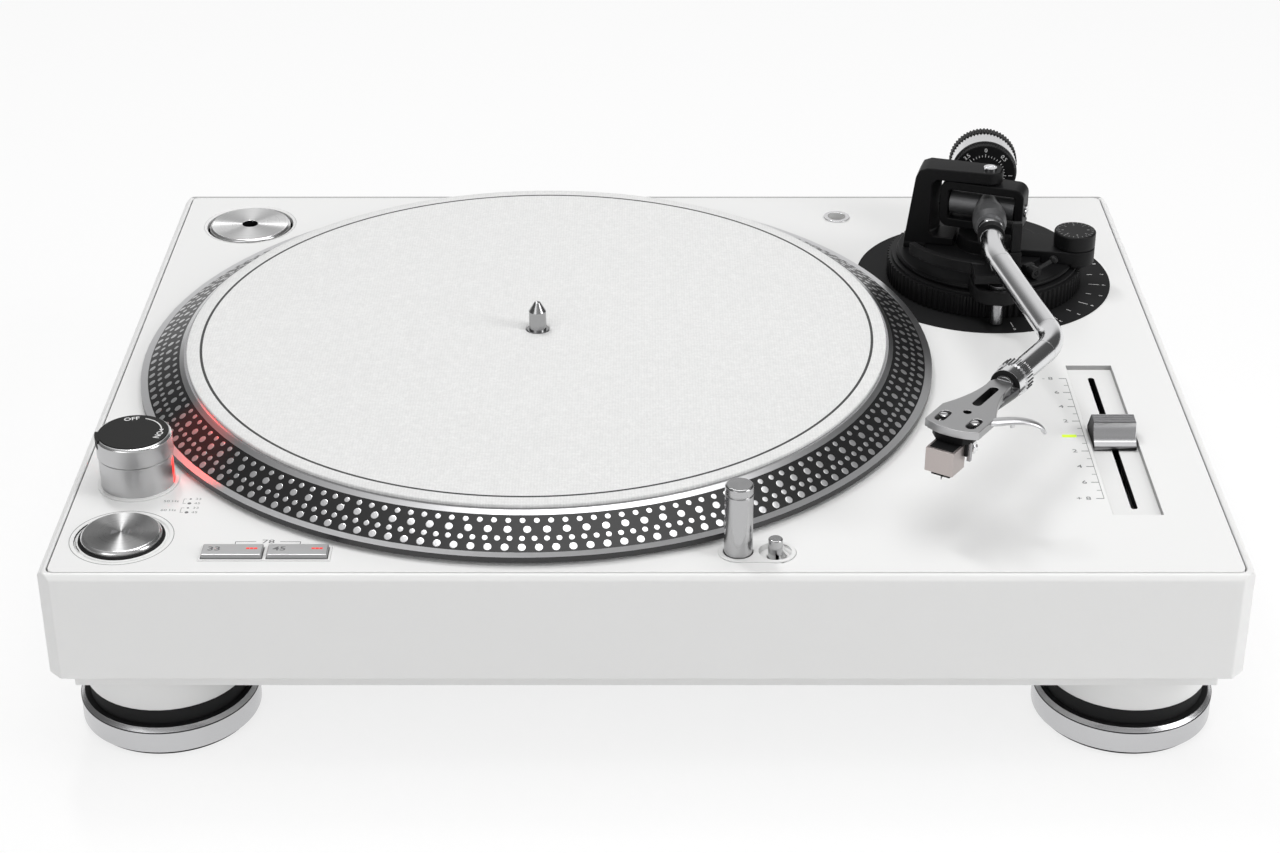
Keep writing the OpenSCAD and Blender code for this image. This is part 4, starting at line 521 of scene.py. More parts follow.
# How far in mm the edges of nodes are rounded
ROUNDED_NODES = (
    (0.12, "scale_disc"), (0.15, "speed_bezel lamp_button cue_lever"), (0.35, "top_plate"),
    (0.2, "tempo_bed strobe_pillar headshell_socket target_lamp tempo_knob pressure_dial"),
    (0.25, "lamp_plate power_knob adaptor_45 start_button headshell"), (0.25, " ".join(FEET)),
    (0.3, "rear_panel power_inlet arm_rest antiskate_knob arm_lifter arm_clamp"),
    (0.4, "speed_key_33 speed_key_45 arm_base"), (0.7, "body_shell"), (0.8, "foot_bosses"),
    (0.5, "foot_dampers gimbal_arch gimbal_frame antiskate_bracket"))

# Platter: the strobe band is the cone between its two lips, each a radius and a height
BAND_OUT = (PLATTER_R - 3.0, SEAT - 9.0)
BAND_IN = (PLATTER_R - 16.6, SEAT - 1.15)
LIP_UNDER_MAT = 2.0

# Feet: height of the rubber sole and of the top, and the width of the bevel
FOOT_SOLE = 1.95
FOOT_TOP = 12.5
FOOT_BEVEL = 1.6

# Radii of the pillar, the spare socket's bore, the adaptor's well and its gap, and the adaptor's hole
PILLAR_R = 14.2
PILLAR_FOOT = 0.8
SOCKET_BORE = 4.1
WELL_R = 21.6
WELL_GAP_R = 20.2
ADAPTOR_HOLE = 4.5

# How far in from the plate's edge its painted seam shadow reaches, and how far down the body's back edge is
# greyer with painted shade
SEAM_SHADOW_REACH = 9.0
BACK_EDGE_SHADE_DOWN = 4.0

# Fader: half sizes of its window and slot, and where on the knob the foot and ridge painted darker as painted
# shade start
TEMPO_WINDOW = (12.0, 66.0)
TEMPO_SLOT = 1.4
KNOB_FOOT = 7.2
KNOB_RIDGE = 3.6


def from_axis(point, centre):
    return math.hypot(point.x - centre.x, point.y - centre.y)


def upright(normal):
    return abs(normal.z) < 0.5


def dress_plain():
    for material, names in PLAIN_NODES:
        for name in names.split():
            dress(name, material)


def round_nodes():
    for width, names in ROUNDED_NODES:
        for name in names.split():
            soften(name, width)


def dress_plate():
    """The white top, with painted shadow in its seam, a black adaptor well and painted shade in grey on the
    walls of the fader's window.
    """
    dress("top_plate", PLATE, PLASTIC, FADER_WALL_SHADE, SEAM_PAINTED_SHADOW)
    well = middle("adaptor_45")
    fader = middle("tempo_bed")
    corner = high("top_plate")

    # The plate's outer side walls are painted near black as painted shadow in the seam
    def on_rim(point, normal):
        outer = abs(point.x) > corner.x - SEAM_SHADOW_REACH or point.y > corner.y - SEAM_SHADOW_REACH
        return outer and upright(normal) and normal.y > -0.5

    def in_well(point, normal):
        return from_axis(point, well) < WELL_R and point.z < DECK_TOP - 0.05

    # The walls of the fader's window are painted grey as painted shade
    def on_fader_edge(point, normal):
        near = abs(point.x - fader.x) < TEMPO_WINDOW[0] and abs(point.y - fader.y) < TEMPO_WINDOW[1]
        return near and upright(normal)

    for index, rule in ((3, on_rim), (1, in_well), (2, on_fader_edge)):
        paint("top_plate", index, rule)


def dress_foot(foot):
    """A turned ring on a rubber sole, black on top inside its bevel."""
    centre = middle(foot)
    radius = (high(foot).x - low(foot).x) / 2
    dress(foot, turned_node(foot, (0.6, 0.6, 0.61), 0.24, sweep=0.75), RUBBER)

    def on_rubber(point, normal):
        top = point.z > FOOT_TOP - 0.1 and from_axis(point, centre) < radius - FOOT_BEVEL
        return point.z < FOOT_SOLE or top

    paint(foot, 1, on_rubber)


def dress_deck():
    """The body, the plate, what is fixed to them in two materials, and the feet."""
    dress("body_shell", SHELL, BACK_EDGE_SHADE)
    dress("tempo_bed", TRIM, PLASTIC)
    dress("strobe_pillar", switch_metal("strobe_pillar"), TRIM)
    dress("headshell_socket", CHROME, TRIM)
    dress_plate()
    back = high("top_plate").y - 0.2
    bed, pillar, socket = middle("tempo_bed"), middle("power_knob"), middle("headshell_socket")

    # The body's back top edge is painted grey as painted shade on its rounded edge
    def on_back_edge(point, normal):
        return point.y > back and point.z > DECK_TOP - BACK_EDGE_SHADE_DOWN and normal.z > 0.2

    # The walls of the fader's slot are painted black as painted shade
    def in_slot(point, normal):
        return upright(normal) and abs(point.x - bed.x) < TEMPO_SLOT

    def on_pillar_foot(point, normal):
        return point.z < DECK_TOP + PILLAR_FOOT + 0.05 and from_axis(point, pillar) > PILLAR_R + 0.05

    def in_socket(point, normal):
        return from_axis(point, socket) < SOCKET_BORE + 0.1 and point.z < DECK_TOP

    for name, rule in (("body_shell", on_back_edge), ("tempo_bed", in_slot),
                       ("strobe_pillar", on_pillar_foot), ("headshell_socket", in_socket)):
        paint(name, 1, rule)
    for foot in FEET:
        dress_foot(foot)


def dress_platter():
    """Turned metal with a black strobe band, pale lips and a side painted dark as painted shade."""
    metal = turned_node("platter", (0.5, 0.5, 0.51), 0.26, pitch=0.5, bump=0.0006, sweep=0.6)
    dress("platter", metal, BAND, RIM_SHADE, LIP)

    def on_band(point, normal):
        return BAND_IN[0] < from_axis(point, PLATTER) < BAND_OUT[0] and point.z > BAND_OUT[1]

    def on_lip(point, normal):
        return from_axis(point, PLATTER) > MAT_R - LIP_UNDER_MAT and not on_band(point, normal)

    # The upright side is painted dark as painted shade
    def on_side(point, normal):
        return from_axis(point, PLATTER) > PLATTER_R - 0.2 and abs(normal.z) < 0.3

    for index, rule in ((1, on_band), (3, on_lip), (2, on_side)):
        paint("platter", index, rule)
    dress("spindle", turned_node("spindle", (0.42, 0.42, 0.425), 0.22, sweep=0.4))


def on_bevel(point, normal):
    return 0.3 < normal.z < 0.95


def dress_controls():
    """The adaptor, the buttons, the lamp, the switch and the fader's knob."""
    for name, level, spin in (("adaptor_45", 0.86, 0.0), ("start_button", 0.44, 0.25)):
        metal = turned_node(name, (level, level, level), 0.3, pitch=0.25, sweep=0.95, spin=spin)
        dress(name, metal, POLISHED, PLASTIC)
        paint(name, 1, on_bevel)
    dress("power_knob", switch_metal("power_knob"), POLISHED)
    paint("power_knob", 1, on_bevel)
    for name in ("target_lamp", "lamp_button"):
        dress(name, turned_node(name, (0.48, 0.48, 0.485), 0.22, sweep=0.6))
    for name in ("speed_key_33", "speed_key_45"):
        dress(name, LINED, KEY_SIDE)
        paint(name, 1, lambda point, normal: abs(normal.z) < 0.3)
    dress("tempo_knob", SMOOTH, PLASTIC, KNOB_PAINTED_SHADE)
    hole, knob = middle("adaptor_45"), middle("tempo_knob")

    # The adaptor's hole walls are painted black as painted shade
    def in_hole(point, normal):
        return from_axis(point, hole) < ADAPTOR_HOLE and upright(normal)

    def on_end(point, normal):
        return abs(normal.x) > 0.9 or point.z < DECK_TOP - 1.0

    # The knob's foot and ridge are painted darker as painted shade
    def on_shade(point, normal):
        on_ridge = normal.z > 0.95 and abs(point.y - knob.y) < KNOB_RIDGE
        return point.z > DECK_TOP - 1.0 and (point.y < knob.y - KNOB_FOOT or on_ridge)

    paint("adaptor_45", 2, in_hole)
    paint("tempo_knob", 1, on_end)
    paint("tempo_knob", 2, on_shade)


# Places along the arm, measured from the pivot: forwards is minus
RING_FROM, RING_TO = -36.6, -31.9
GRIP_FROM = 51.2

# Headshell, in its own frame from the collar: forwards is minus Y
SHELL_TOP = 2.6
SHELL_UNDER = -0.6
NECK_TO, NECK_TOP_TO = -12.5, -4.4
NECK_R = 5.05
SLOT_FROM, SLOT_TO = -26.6, -8.4
SLOT_HALF = 1.75
HOLE_Y = -33.0
SHELL_HOLE_R = 1.6


def dress_arm():
    """What rides on the arm in two or more materials."""
    for name in ("gimbal_screws", "arm_tube"):
        dress(name, CHROME, PLASTIC)
    dress("counterweight", WEIGHT, PLASTIC)
    dress("headshell", CAST, NECK, PLASTIC)
    to_head = HEAD.inverted()

    def on_neck(point, normal):
        place = to_head @ point
        on_cone = place.y > NECK_TO and math.hypot(place.x, place.z) > NECK_R
        return on_cone or place.z < SHELL_UNDER - 0.05 or (place.y > NECK_TOP_TO and normal.z < 0.5)

    # The headshell's slot walls and rear hole are painted black as painted shade
    def in_slot(point, normal):
        place = to_head @ point
        in_hole = math.hypot(place.x, place.y - HOLE_Y) < SHELL_HOLE_R
        return in_hole or SLOT_FROM < place.y < SLOT_TO and abs(place.x) < SLOT_HALF and normal.z < 0.5

    paint("headshell", 1, on_neck)
    paint("headshell", 2, in_slot)
    to_arm = ARM.inverted()
    # The left chrome screw is painted black as painted shade that hides its glint
    paint("gimbal_screws", 1, lambda point, normal: point.x < PIVOT.x)
    paint("arm_tube", 1, lambda point, normal: RING_FROM < (to_arm @ point).y < RING_TO)
    paint("counterweight", 1, lambda point, normal: (to_arm @ point).y > GRIP_FROM - 0.02)


# Modelled pieces

# Mat: hole, rings of vertices, height of its waves and radius of its soft edge
HOLE_R = 4.95
MAT_RINGS = 22
MAT_WAVE = 0.05
MAT_SOFT = 0.5


def make_slipmat():
    """The felt mat: a laid cloth with a soft edge, faint waves and a worn centre hole."""
    bm = bmesh.new()
    seat = Vector((PLATTER.x, PLATTER.y, SEAT))
    thick = high("slipmat").z - SEAT
    width = MAT_R - HOLE_R - 2 * MAT_SOFT
    profile = [(HOLE_R, 0.02), (HOLE_R, thick - MAT_SOFT), (HOLE_R + MAT_SOFT, thick)]
    profile += [(HOLE_R + MAT_SOFT + width * i / MAT_RINGS, thick) for i in range(1, MAT_RINGS)]
    profile += [(MAT_R - MAT_SOFT, thick), (MAT_R - 0.12, thick - 0.22),
                (MAT_R, thick - MAT_SOFT - 0.15), (MAT_R - 0.1, 0.02)]
    lathe(bm, Matrix.Translation(seat), profile, 180, closed=True)
    for vert in bm.verts:
        across = vert.co - seat
        if across.z > thick - 0.01:
            angle = math.atan2(across.y, across.x)
            reach = math.hypot(across.x, across.y) / MAT_R
            wave = math.sin(3 * angle + 7 * reach) + math.sin(5 * angle - 11 * reach + 1.3)
            vert.co.z += MAT_WAVE * reach * (wave - 1) / 2
    mat = piece("felt_mat", bm, [FELT], "slipmat", seat, crease=60)
    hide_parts("slipmat")


# Rows of strobe dots from the outside in: count, share of the band's width, radius
DOT_ROWS = ((160, 0.133, 1.5), (216, 0.371, 1.1), (133, 0.611, 1.5), (180, 0.851, 1.1))
DOT_UP = 0.1


def make_strobe_dots():
    """Four rows of low bright studs with a ring pressed in their tops, on the platter's cone."""
    bm = bmesh.new()
    slope = Vector((BAND_OUT[0] - BAND_IN[0], BAND_IN[1] - BAND_OUT[1])).normalized()
    for count, share, radius in DOT_ROWS:
        reach = BAND_OUT[0] + (BAND_IN[0] - BAND_OUT[0]) * share
        level = BAND_OUT[1] + (BAND_IN[1] - BAND_OUT[1]) * share
        for i in range(count):
            angle = math.tau * i / count
            out = Vector((math.cos(angle), math.sin(angle), 0))
            normal = out * slope.y + Vector((0, 0, slope.x))
            around = Vector((-out.y, out.x, 0))
            centre = Vector((PLATTER.x, PLATTER.y, level)) + out * reach
            stud = [(radius, -0.05), (radius, DOT_UP * 0.5), (radius * 0.88, DOT_UP),
                    (radius * 0.66, DOT_UP * 0.6), (radius * 0.4, DOT_UP * 0.9), (0, DOT_UP)]
            lathe(bm, place_of(centre, around, normal), stud, 12)
    seat = Vector((PLATTER.x, PLATTER.y, SEAT))
    piece("strobe_dots", bm, [DOT], "platter", seat, crease=50)


# Switch cap: radius, height, and the angles in degrees of its pointer, words and arrow
CAP_R = 13.5
CAP_UP = 0.4
POINTER_TURN = 196
POINTER_HALF = 16
POINTER_DOWN = 3.4
LABEL_R = 10.3
LABELS = (("OFF", 103), ("ON", -14))
ARROW_FROM, ARROW_TO = 74, 8


def make_power_cap():
    """The switch's black cap with its pointer and plain OFF and ON marks."""
    centre = middle("power_knob")
    top = high("power_knob").z
    side = (high("power_knob").x - low("power_knob").x) / 2
    place = at(centre.x, centre.y, top)
    bm = bmesh.new()
    profile = [(0, -0.1), (CAP_R, -0.1), (CAP_R, CAP_UP - 0.2), (CAP_R - 0.25, CAP_UP), (0, CAP_UP)]
    lathe(bm, place, profile, 72)
    pointer = arc_band(CAP_R - 2, side + 0.12, -POINTER_HALF, POINTER_HALF)
    slab(bm, place @ at(0, 0, 0, POINTER_TURN), pointer, -POINTER_DOWN, CAP_UP - 0.05)
    piece("power_cap", bm, [CAP], "power_knob", centre, bevel=0.08)
    bm = bmesh.new()
    face = at(centre.x, centre.y, top + CAP_UP)
    for label, angle in LABELS:
        words(bm, face @ at(0, 0, 0, angle) @ at(LABEL_R, 0, 0, -90), label, 2.5, bold=0.06)
    printed(bm, face, arc_band(LABEL_R + 0.2, LABEL_R + 0.7, ARROW_TO, ARROW_FROM))
    tip = face @ at(0, 0, 0, ARROW_TO - 1) @ at(LABEL_R + 0.45, 0, 0)
    printed(bm, tip, [(-0.9, 0.6), (0, -1.3), (0.9, 0.6)])
    piece("power_marks", bm, [WHITE_INK], "power_knob", centre)


# Radii of the start button and of the ring printed round it
START_R = 15.1
START_RING_R = 19.3


def make_start_button_trim():
    """The rubber seal round the start button, and a plain play and pause sign on its face."""
    centre = middle("start_button")
    bm = bmesh.new()
    seal = [(0.12, 0.0), (0.12, 0.7), (0.5, 0.85), (0.95, 0.5), (1.1, 0.0)]
    lathe(bm, at(centre.x, centre.y, DECK_TOP), [(START_R + out, up) for out, up in seal], 96, closed=True)
    piece("start_seal", bm, [RUBBER], "deck", centre)
    bm = bmesh.new()
    face = at(centre.x, centre.y, high("start_button").z)
    printed(bm, face, [(-3.6, -1.7), (-0.6, 0), (-3.6, 1.7)])
    for x in (1.3, 3.0):
        printed(bm, face, rectangle(0.9, 3.4, x))
    piece("start_sign", bm, [INK], "start_button", centre)


def make_well_lining():
    """The pale bevelled ring that lines the adaptor's well."""
    centre = middle("adaptor_45")
    bm = bmesh.new()
    profile = [(WELL_GAP_R, -3.0), (WELL_R - 0.2, -3.0), (WELL_R - 0.12, -0.06), (WELL_GAP_R, -0.4)]
    lathe(bm, at(centre.x, centre.y, DECK_TOP), profile, 128, closed=True)
    piece("well_lining", bm, [TRIM], "deck", Vector((centre.x, centre.y, DECK_TOP)))


def make_key_marks():
    """The plain speed figures and the red lamps on the two keys."""
    for key, label in (("speed_key_33", "33"), ("speed_key_45", "45")):
        left, right = low(key), high(key)
        face = at(0, middle(key).y, right.z)
        bm = bmesh.new()
        words(bm, face @ at(left.x + 4.4, 0.3, 0), label, 2.7, bold=0.06, stretch=1.35)
        for i in range(3):
            printed(bm, face @ at(right.x - 5.4 + 1.45 * i, 0.6, 0), rectangle(1.25, 0.95), 1)
        piece(key + "_marks", bm, [INK, KEY_RED], key, middle(key))


# Tempo scale: even steps of the slider's printed percentage
TEMPO_SCALE_X = 175.5
TEMPO_SCALE_LEN = 99.0
TEMPO_STEPS = 8


def add_tempo_scale(bm):
    centre = middle("tempo_knob").y
    printed(bm, at(TEMPO_SCALE_X, centre, DECK_TOP), rectangle(0.25, TEMPO_SCALE_LEN), 1)
    for i in range(-TEMPO_STEPS, TEMPO_STEPS + 1):
        y = centre - i * TEMPO_SCALE_LEN / 2 / TEMPO_STEPS
        whole = i % 2 == 0
        reach = 3.0 if whole else 1.8
        printed(bm, at(TEMPO_SCALE_X - reach / 2, y, DECK_TOP), rectangle(reach, 0.4), 0 if whole else 1)
        if whole and i:
            sign = {TEMPO_STEPS: "+ ", -TEMPO_STEPS: "- "}.get(i, "")
            x = TEMPO_SCALE_X - 5.6 - len(sign) * 1.1
            words(bm, at(x, y, DECK_TOP), sign + str(abs(i)), 2.5, stretch=1.25)


# Strobe key beside the switch: mains frequency, then a small and a large dot for the two speeds
KEY_X, KEY_Y = -181.8, -119.6
KEY_STEP = 6.7


def add_strobe_key(bm):
    for row, label in enumerate(("50 Hz", "60 Hz")):
        y = KEY_Y - row * KEY_STEP
        words(bm, at(KEY_X, y, DECK_TOP), label, 1.5, 1, stretch=1.2)
        bracket = [rectangle(0.22, 3.6, 4.7)] + [rectangle(1.2, 0.22, 5.2, end) for end in (1.7, -1.7)]
        for shape in bracket:
            printed(bm, at(KEY_X, y, DECK_TOP), shape, 1)
        for lift, dot, speed in ((1.65, 0.45, "33"), (-1.65, 0.75, "45")):
            printed(bm, at(KEY_X + 7.2, y + lift, DECK_TOP), circle(dot, 16), 0)
            words(bm, at(KEY_X + 10.2, y + lift, DECK_TOP), speed, 1.5, 1, stretch=1.2)


def make_deck_print():
    """The printed scales, lines and figures on the deck's top."""
    bm = bmesh.new()
    add_tempo_scale(bm)
    add_strobe_key(bm)
    start = middle("start_button")
    printed_ring(bm, at(start.x, start.y, DECK_TOP), START_RING_R, 0.3, material=1)
    left, right = middle("speed_key_33"), middle("speed_key_45")
    y = high("speed_bezel").y + 3.4
    for x, reach in ((left.x, 1), (right.x, -1)):
        printed(bm, at(x, y - 0.9, DECK_TOP), rectangle(0.3, 2.1))
        printed(bm, at(x + reach * 3.8, y, DECK_TOP), rectangle(7.6, 0.3))
    words(bm, at((left.x + right.x) / 2, y, DECK_TOP), "78", 2.6, stretch=1.4)
    piece("deck_print", bm, [INK, FAINT_INK], "deck", Vector((0, 0, DECK_TOP)))


# Height scale round the arm: its angles and steps in degrees, and the radius where its ticks start
SCALE_FROM, SCALE_TO = -82, 26
SCALE_STEP = 12
SCALE_IN = 47.4


def make_arm_scale():
    """The height scale printed on the disc round the arm."""
    bm = bmesh.new()
    face = at(PIVOT.x, PIVOT.y, high("scale_disc").z)
    for i, angle in enumerate(range(SCALE_FROM, SCALE_TO + 1, SCALE_STEP)):
        reach = 2.4 if i % 2 else 4.6
        spin = face @ at(0, 0, 0, angle)
        printed(bm, spin @ at(SCALE_IN + reach / 2, 0, 0), rectangle(reach, 0.3))
        words(bm, spin @ at(SCALE_IN + 6.6, 0, 0, -90), str(i), 1.6)
    piece("arm_scale", bm, [WHITE_INK], "deck", Vector((PIVOT.x, PIVOT.y, DECK_TOP)))


# Pressure dial, along the arm from the pivot
DIAL_FROM = 37.5
DIAL_T = 3.4
DIAL_R = 14.0
DIAL_RIBS = 72
DIAL_TICKS = 40
DIAL_FIGURES = ("0", "0.5", "1", "1.5", "2", "2.5", "3", "3.5")


def make_dial_marks():
    """The tracking-force figures and ticks on the dial's front face, and the fine ribs round its rim."""
    bm = bmesh.new()
    face = ARM @ at(0, DIAL_FROM, 0) @ Matrix.Rotation(math.radians(90), 4, "X")
    for i in range(DIAL_TICKS):
        spin = face @ Matrix.Rotation(-i * math.tau / DIAL_TICKS, 4, "Z")
        length = 0.9 if i % 5 else 1.5
        printed(bm, spin @ at(0, 8.6 + length / 2, 0), rectangle(0.24, length))
        if i % 5 == 0:
            words(bm, spin @ at(0, 11.8, 0), DIAL_FIGURES[i // 5], 1.9, bold=0.02)
    for i in range(DIAL_RIBS):
        spin = ARM @ Matrix.Rotation(i * math.tau / DIAL_RIBS, 4, "Y")
        rib = spin @ at(0, DIAL_FROM + DIAL_T / 2, DIAL_R)
        slab(bm, rib, rectangle(0.6, DIAL_T - 0.5), -0.1, 0.22, 1)
    origin = ARM @ Vector((0, DIAL_FROM, 0))
    piece("dial_marks", bm, [WHITE_INK, PLASTIC], "pressure_dial", origin)


SKATE_TICKS = 24


def make_skate_marks():
    """The ring of ticks and figures on the anti-skate knob."""
    centre = middle("antiskate_knob")
    bm = bmesh.new()
    face = at(centre.x, centre.y, high("antiskate_knob").z)
    for i in range(SKATE_TICKS):
        spin = face @ Matrix.Rotation(i * math.tau / SKATE_TICKS, 4, "Z")
        printed(bm, spin @ at(7.7, 0, 0), rectangle(1.1 if i % 3 else 1.7, 0.2))
        if i % 3 == 0:
            words(bm, spin @ at(5.6, 0, 0, -90), str(i // 3), 1.3)
    piece("skate_marks", bm, [FAINT_INK], "antiskate_knob", centre)


# Cartridge screws, in the headshell's frame: pitch, place, radius, ends and the nut's heights
CART_PITCH = 12.7
SCREW_Y = -39.8
SCREW_R = 1.75
THREAD_R = 1.1
THREAD_END = -9.6
NUT_R = 2.0
NUT_FROM, NUT_TO = -8.4, -6.7


def make_cartridge_screws():
    """Two slotted cheese-head screws, down through the cartridge's ears to their nuts."""
    bm = bmesh.new()
    for side in (-1, 1):
        place = HEAD @ at(side * CART_PITCH / 2, SCREW_Y, 0)
        head = [(0, SHELL_TOP - 0.9), (SCREW_R, SHELL_TOP - 0.9), (SCREW_R, SHELL_TOP + 0.1),
                (SCREW_R - 0.3, SHELL_TOP + 0.35), (0, SHELL_TOP + 0.35)]
        lathe(bm, place, head, 28)
        slot = rectangle(2 * SCREW_R - 0.3, 0.5)
        slab(bm, place @ at(0, 0, 0, 24), slot, SHELL_TOP + 0.3, SHELL_TOP + 0.38, 1)
        thread = [(0, THREAD_END), (THREAD_R - 0.15, THREAD_END), (THREAD_R, THREAD_END + 0.3),
                  (THREAD_R, SHELL_TOP - 0.8), (0, SHELL_TOP - 0.8)]
        lathe(bm, place, thread, 20)
        slab(bm, place, circle(NUT_R, 6), NUT_FROM, NUT_TO)
    piece("cartridge_screws", bm, [CHROME, PLASTIC], "headshell", HEAD.translation)


# Cartridge: places of the mount and the stylus body along the headshell, and of the cantilever's two ends
MOUNT_Y = -41.5
STYLUS_Y = -50.0
CANTILEVER = (Vector((0, -49.0, -15.0)), Vector((0, -52.1, -16.6)))
TERMINAL_PITCH = 2.5


def make_cartridge():
    """The cartridge: a black mount with terminals and a guard, a stylus body, cantilever and tip."""
    bm = bmesh.new()
    mount = HEAD @ at(0, MOUNT_Y, 0)
    ears = [(-8.2, 4.4), (-8.2, -3.4), (-5.6, -6.3), (5.6, -6.3),
            (8.2, -3.4), (8.2, 4.4), (5.4, 6.2), (-5.4, 6.2)]
    slab(bm, mount, ears, -3.4, SHELL_UNDER)
    slab(bm, mount, rectangle(11.0, 12.4), -6.6, -3.3)
    slab(bm, mount, rectangle(1.4, 2.6, 6.3, -3.4), -8.6, -3.0)
    slab(bm, mount, rectangle(1.5, 1.5, 7.3, -3.2), -10.6, -2.8, 3)
    body = HEAD @ at(0, STYLUS_Y, 0)
    outline = [(-5.7, -5.0), (5.7, -5.0), (5.7, 5.0), (3.4, 5.6), (-3.4, 5.6), (-5.7, 5.0)]
    slab(bm, body, outline, -13.6, -4.0, 1)
    slab(bm, body, rectangle(9.4, 8.6, 0, 0.5), -4.2, -3.7, 2)
    slab(bm, body, rectangle(7.6, 7.0, 0, 0.4), -15.4, -13.5, 2)
    tube(bm, [HEAD @ end for end in CANTILEVER], [0.35, 0.28], 10, material=3)
    tip = HEAD @ at(0, -52, 0)
    lathe(bm, tip, [(0.28, -16.4), (0.22, -17.0), (0, -17.5)], 12, material=3)
    for side in (-1.5, -0.5, 0.5, 1.5):
        pin = [HEAD @ Vector((side * TERMINAL_PITCH, y, -4.9)) for y in (-35.6, -32.4)]
        tube(bm, pin, [0.45, 0.4], 10, material=4)
    made = piece("stylus_cartridge", bm, [PLASTIC, ROSE, PAINT, STEEL, GOLD], "headshell",
                 HEAD.translation, bevel=0.18)
    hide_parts("cartridge")


# Finger lift, in the headshell's frame: its middle line, and its radius at either end
LIFT_POINTS = ((9.6, -33.2, 1.2), (12.5, -32.4, 1.7), (15.6, -30.7, 2.2), (18.7, -28.7, 2.3),
               (21.7, -26.4, 1.7), (24.3, -24.1, 0.4), (25.8, -22.6, -1.4), (26.4, -22.0, -3.0))
LIFT_RADII = (3.0, 1.9)


def make_finger_lift():
    """The bowed finger lift with a blunt turned-down end."""
    bm = bmesh.new()
    points = smooth_path([Vector(p) for p in LIFT_POINTS], 4)
    first, last = LIFT_RADII
    radii = [first + (last - first) * i / (len(points) - 1) for i in range(len(points))]
    tube(bm, [HEAD @ p for p in points], radii, 16, flat=0.42, up=ARM_UP)
    knob = HEAD @ at(17.0, -29.9, 0)
    lathe(bm, knob, [(0, -0.6), (0.8, -0.3), (0.9, 0.6), (0.9, 1.6), (0, 1.6)], 16)
    made = piece("bowed_finger_lift", bm, [SATIN], "headshell", HEAD.translation)
    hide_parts("finger_lift")


def make_gasket():
    """The rubber washer between the headshell and the collar."""
    bm = bmesh.new()
    place = HEAD @ Matrix.Rotation(math.radians(-90), 4, "X")
    profile = [(4.1, -0.27), (5.8, -0.27), (6.1, -0.15), (5.8, -0.04), (4.1, -0.04)]
    lathe(bm, place, profile, 48, closed=True)
    piece("shell_gasket", bm, [RUBBER], "headshell", HEAD.translation)


def make_foot_lines():
    """A black band below the bevel of each foot, painted as the shade of a groove."""
    for foot in FEET:
        centre = middle(foot)
        radius = (high(foot).x - low(foot).x) / 2
        bm = bmesh.new()
        level = FOOT_TOP - FOOT_BEVEL - 0.1
        # A black band stands as painted shade for the groove
        groove_shade = [(radius - 0.2, level - 0.25), (radius + 0.05, level - 0.2), (radius + 0.05, level + 0.2),
                  (radius - 0.2, level + 0.25)]
        lathe(bm, at(centre.x, centre.y, 0), groove_shade, 128, closed=True)
        piece(foot + "_groove", bm, [PLASTIC], foot, Vector((centre.x, centre.y, 0)))


GRIP_LINES = (-2.5, -0.85, 0.85, 2.5)


def make_fader_grip():
    """Four fine ribs across the top of the fader's knob."""
    bm = bmesh.new()
    centre = middle("tempo_knob")
    width = high("tempo_knob").x - low("tempo_knob").x
    for y in GRIP_LINES:
        place = at(centre.x, centre.y + y, high("tempo_knob").z)
        slab(bm, place, rectangle(width - 0.5, 0.7), -0.1, 0.28)
    piece("fader_ribs", bm, [SMOOTH], "tempo_knob", centre, bevel=0.08)


def smooth_path(points, between):
    """A Catmull-Rom curve through the points, with so many steps between each two."""
    path = []
    for i in range(len(points) - 1):
        before, after = points[max(i - 1, 0)], points[min(i + 2, len(points) - 1)]
        first, second = points[i], points[i + 1]
        for k in range(between):
            t = k / between
            path.append(0.5 * (2 * first + (second - before) * t
                               + (2 * before - 5 * first + 4 * second - after) * t * t
                               + (3 * first - before - 3 * second + after) * t ** 3))
    return path + [points[-1]]


# Light, floor and camera

def make_camera():
    data = bpy.data.cameras.new("camera")
    data.lens = LENS
    data.sensor_width = SENSOR
    data.shift_x = CAMERA_SHIFT
    camera = bpy.data.objects.new("camera", data)
    camera.location = CAMERA_PLACE * MM
    camera.rotation_euler = (math.radians(CAMERA_PITCH), 0, 0)
    show(camera)
    bpy.context.scene.camera = camera


def area_light(name, place, target, width, depth, power):
    data = bpy.data.lights.new(name, "AREA")
    data.shape = "RECTANGLE"
    data.size = width
    data.size_y = depth
    data.energy = power
    lamp = bpy.data.objects.new(name, data)
    lamp.location = place
    lamp.rotation_euler = (Vector(target) - Vector(place)).to_track_quat("-Z", "Y").to_euler()
    show(lamp)


# Brightness of the studio by height of direction, darker near the horizon so that metal has contrast
SKY = ((0.0, 0.3), (0.1, 0.12), (0.4, 0.12), (0.62, 0.14), (0.82, 0.34), (1.0, 0.72))
SKY_LEFT, SKY_RIGHT = 1.15, 0.65

# Bright panels at the back and the front: how far back a direction points where each starts and where
# it is full, and its brightness
SKY_PANELS = ((0.79, 0.9, 0.72), (-0.4, -0.8, 0.36))


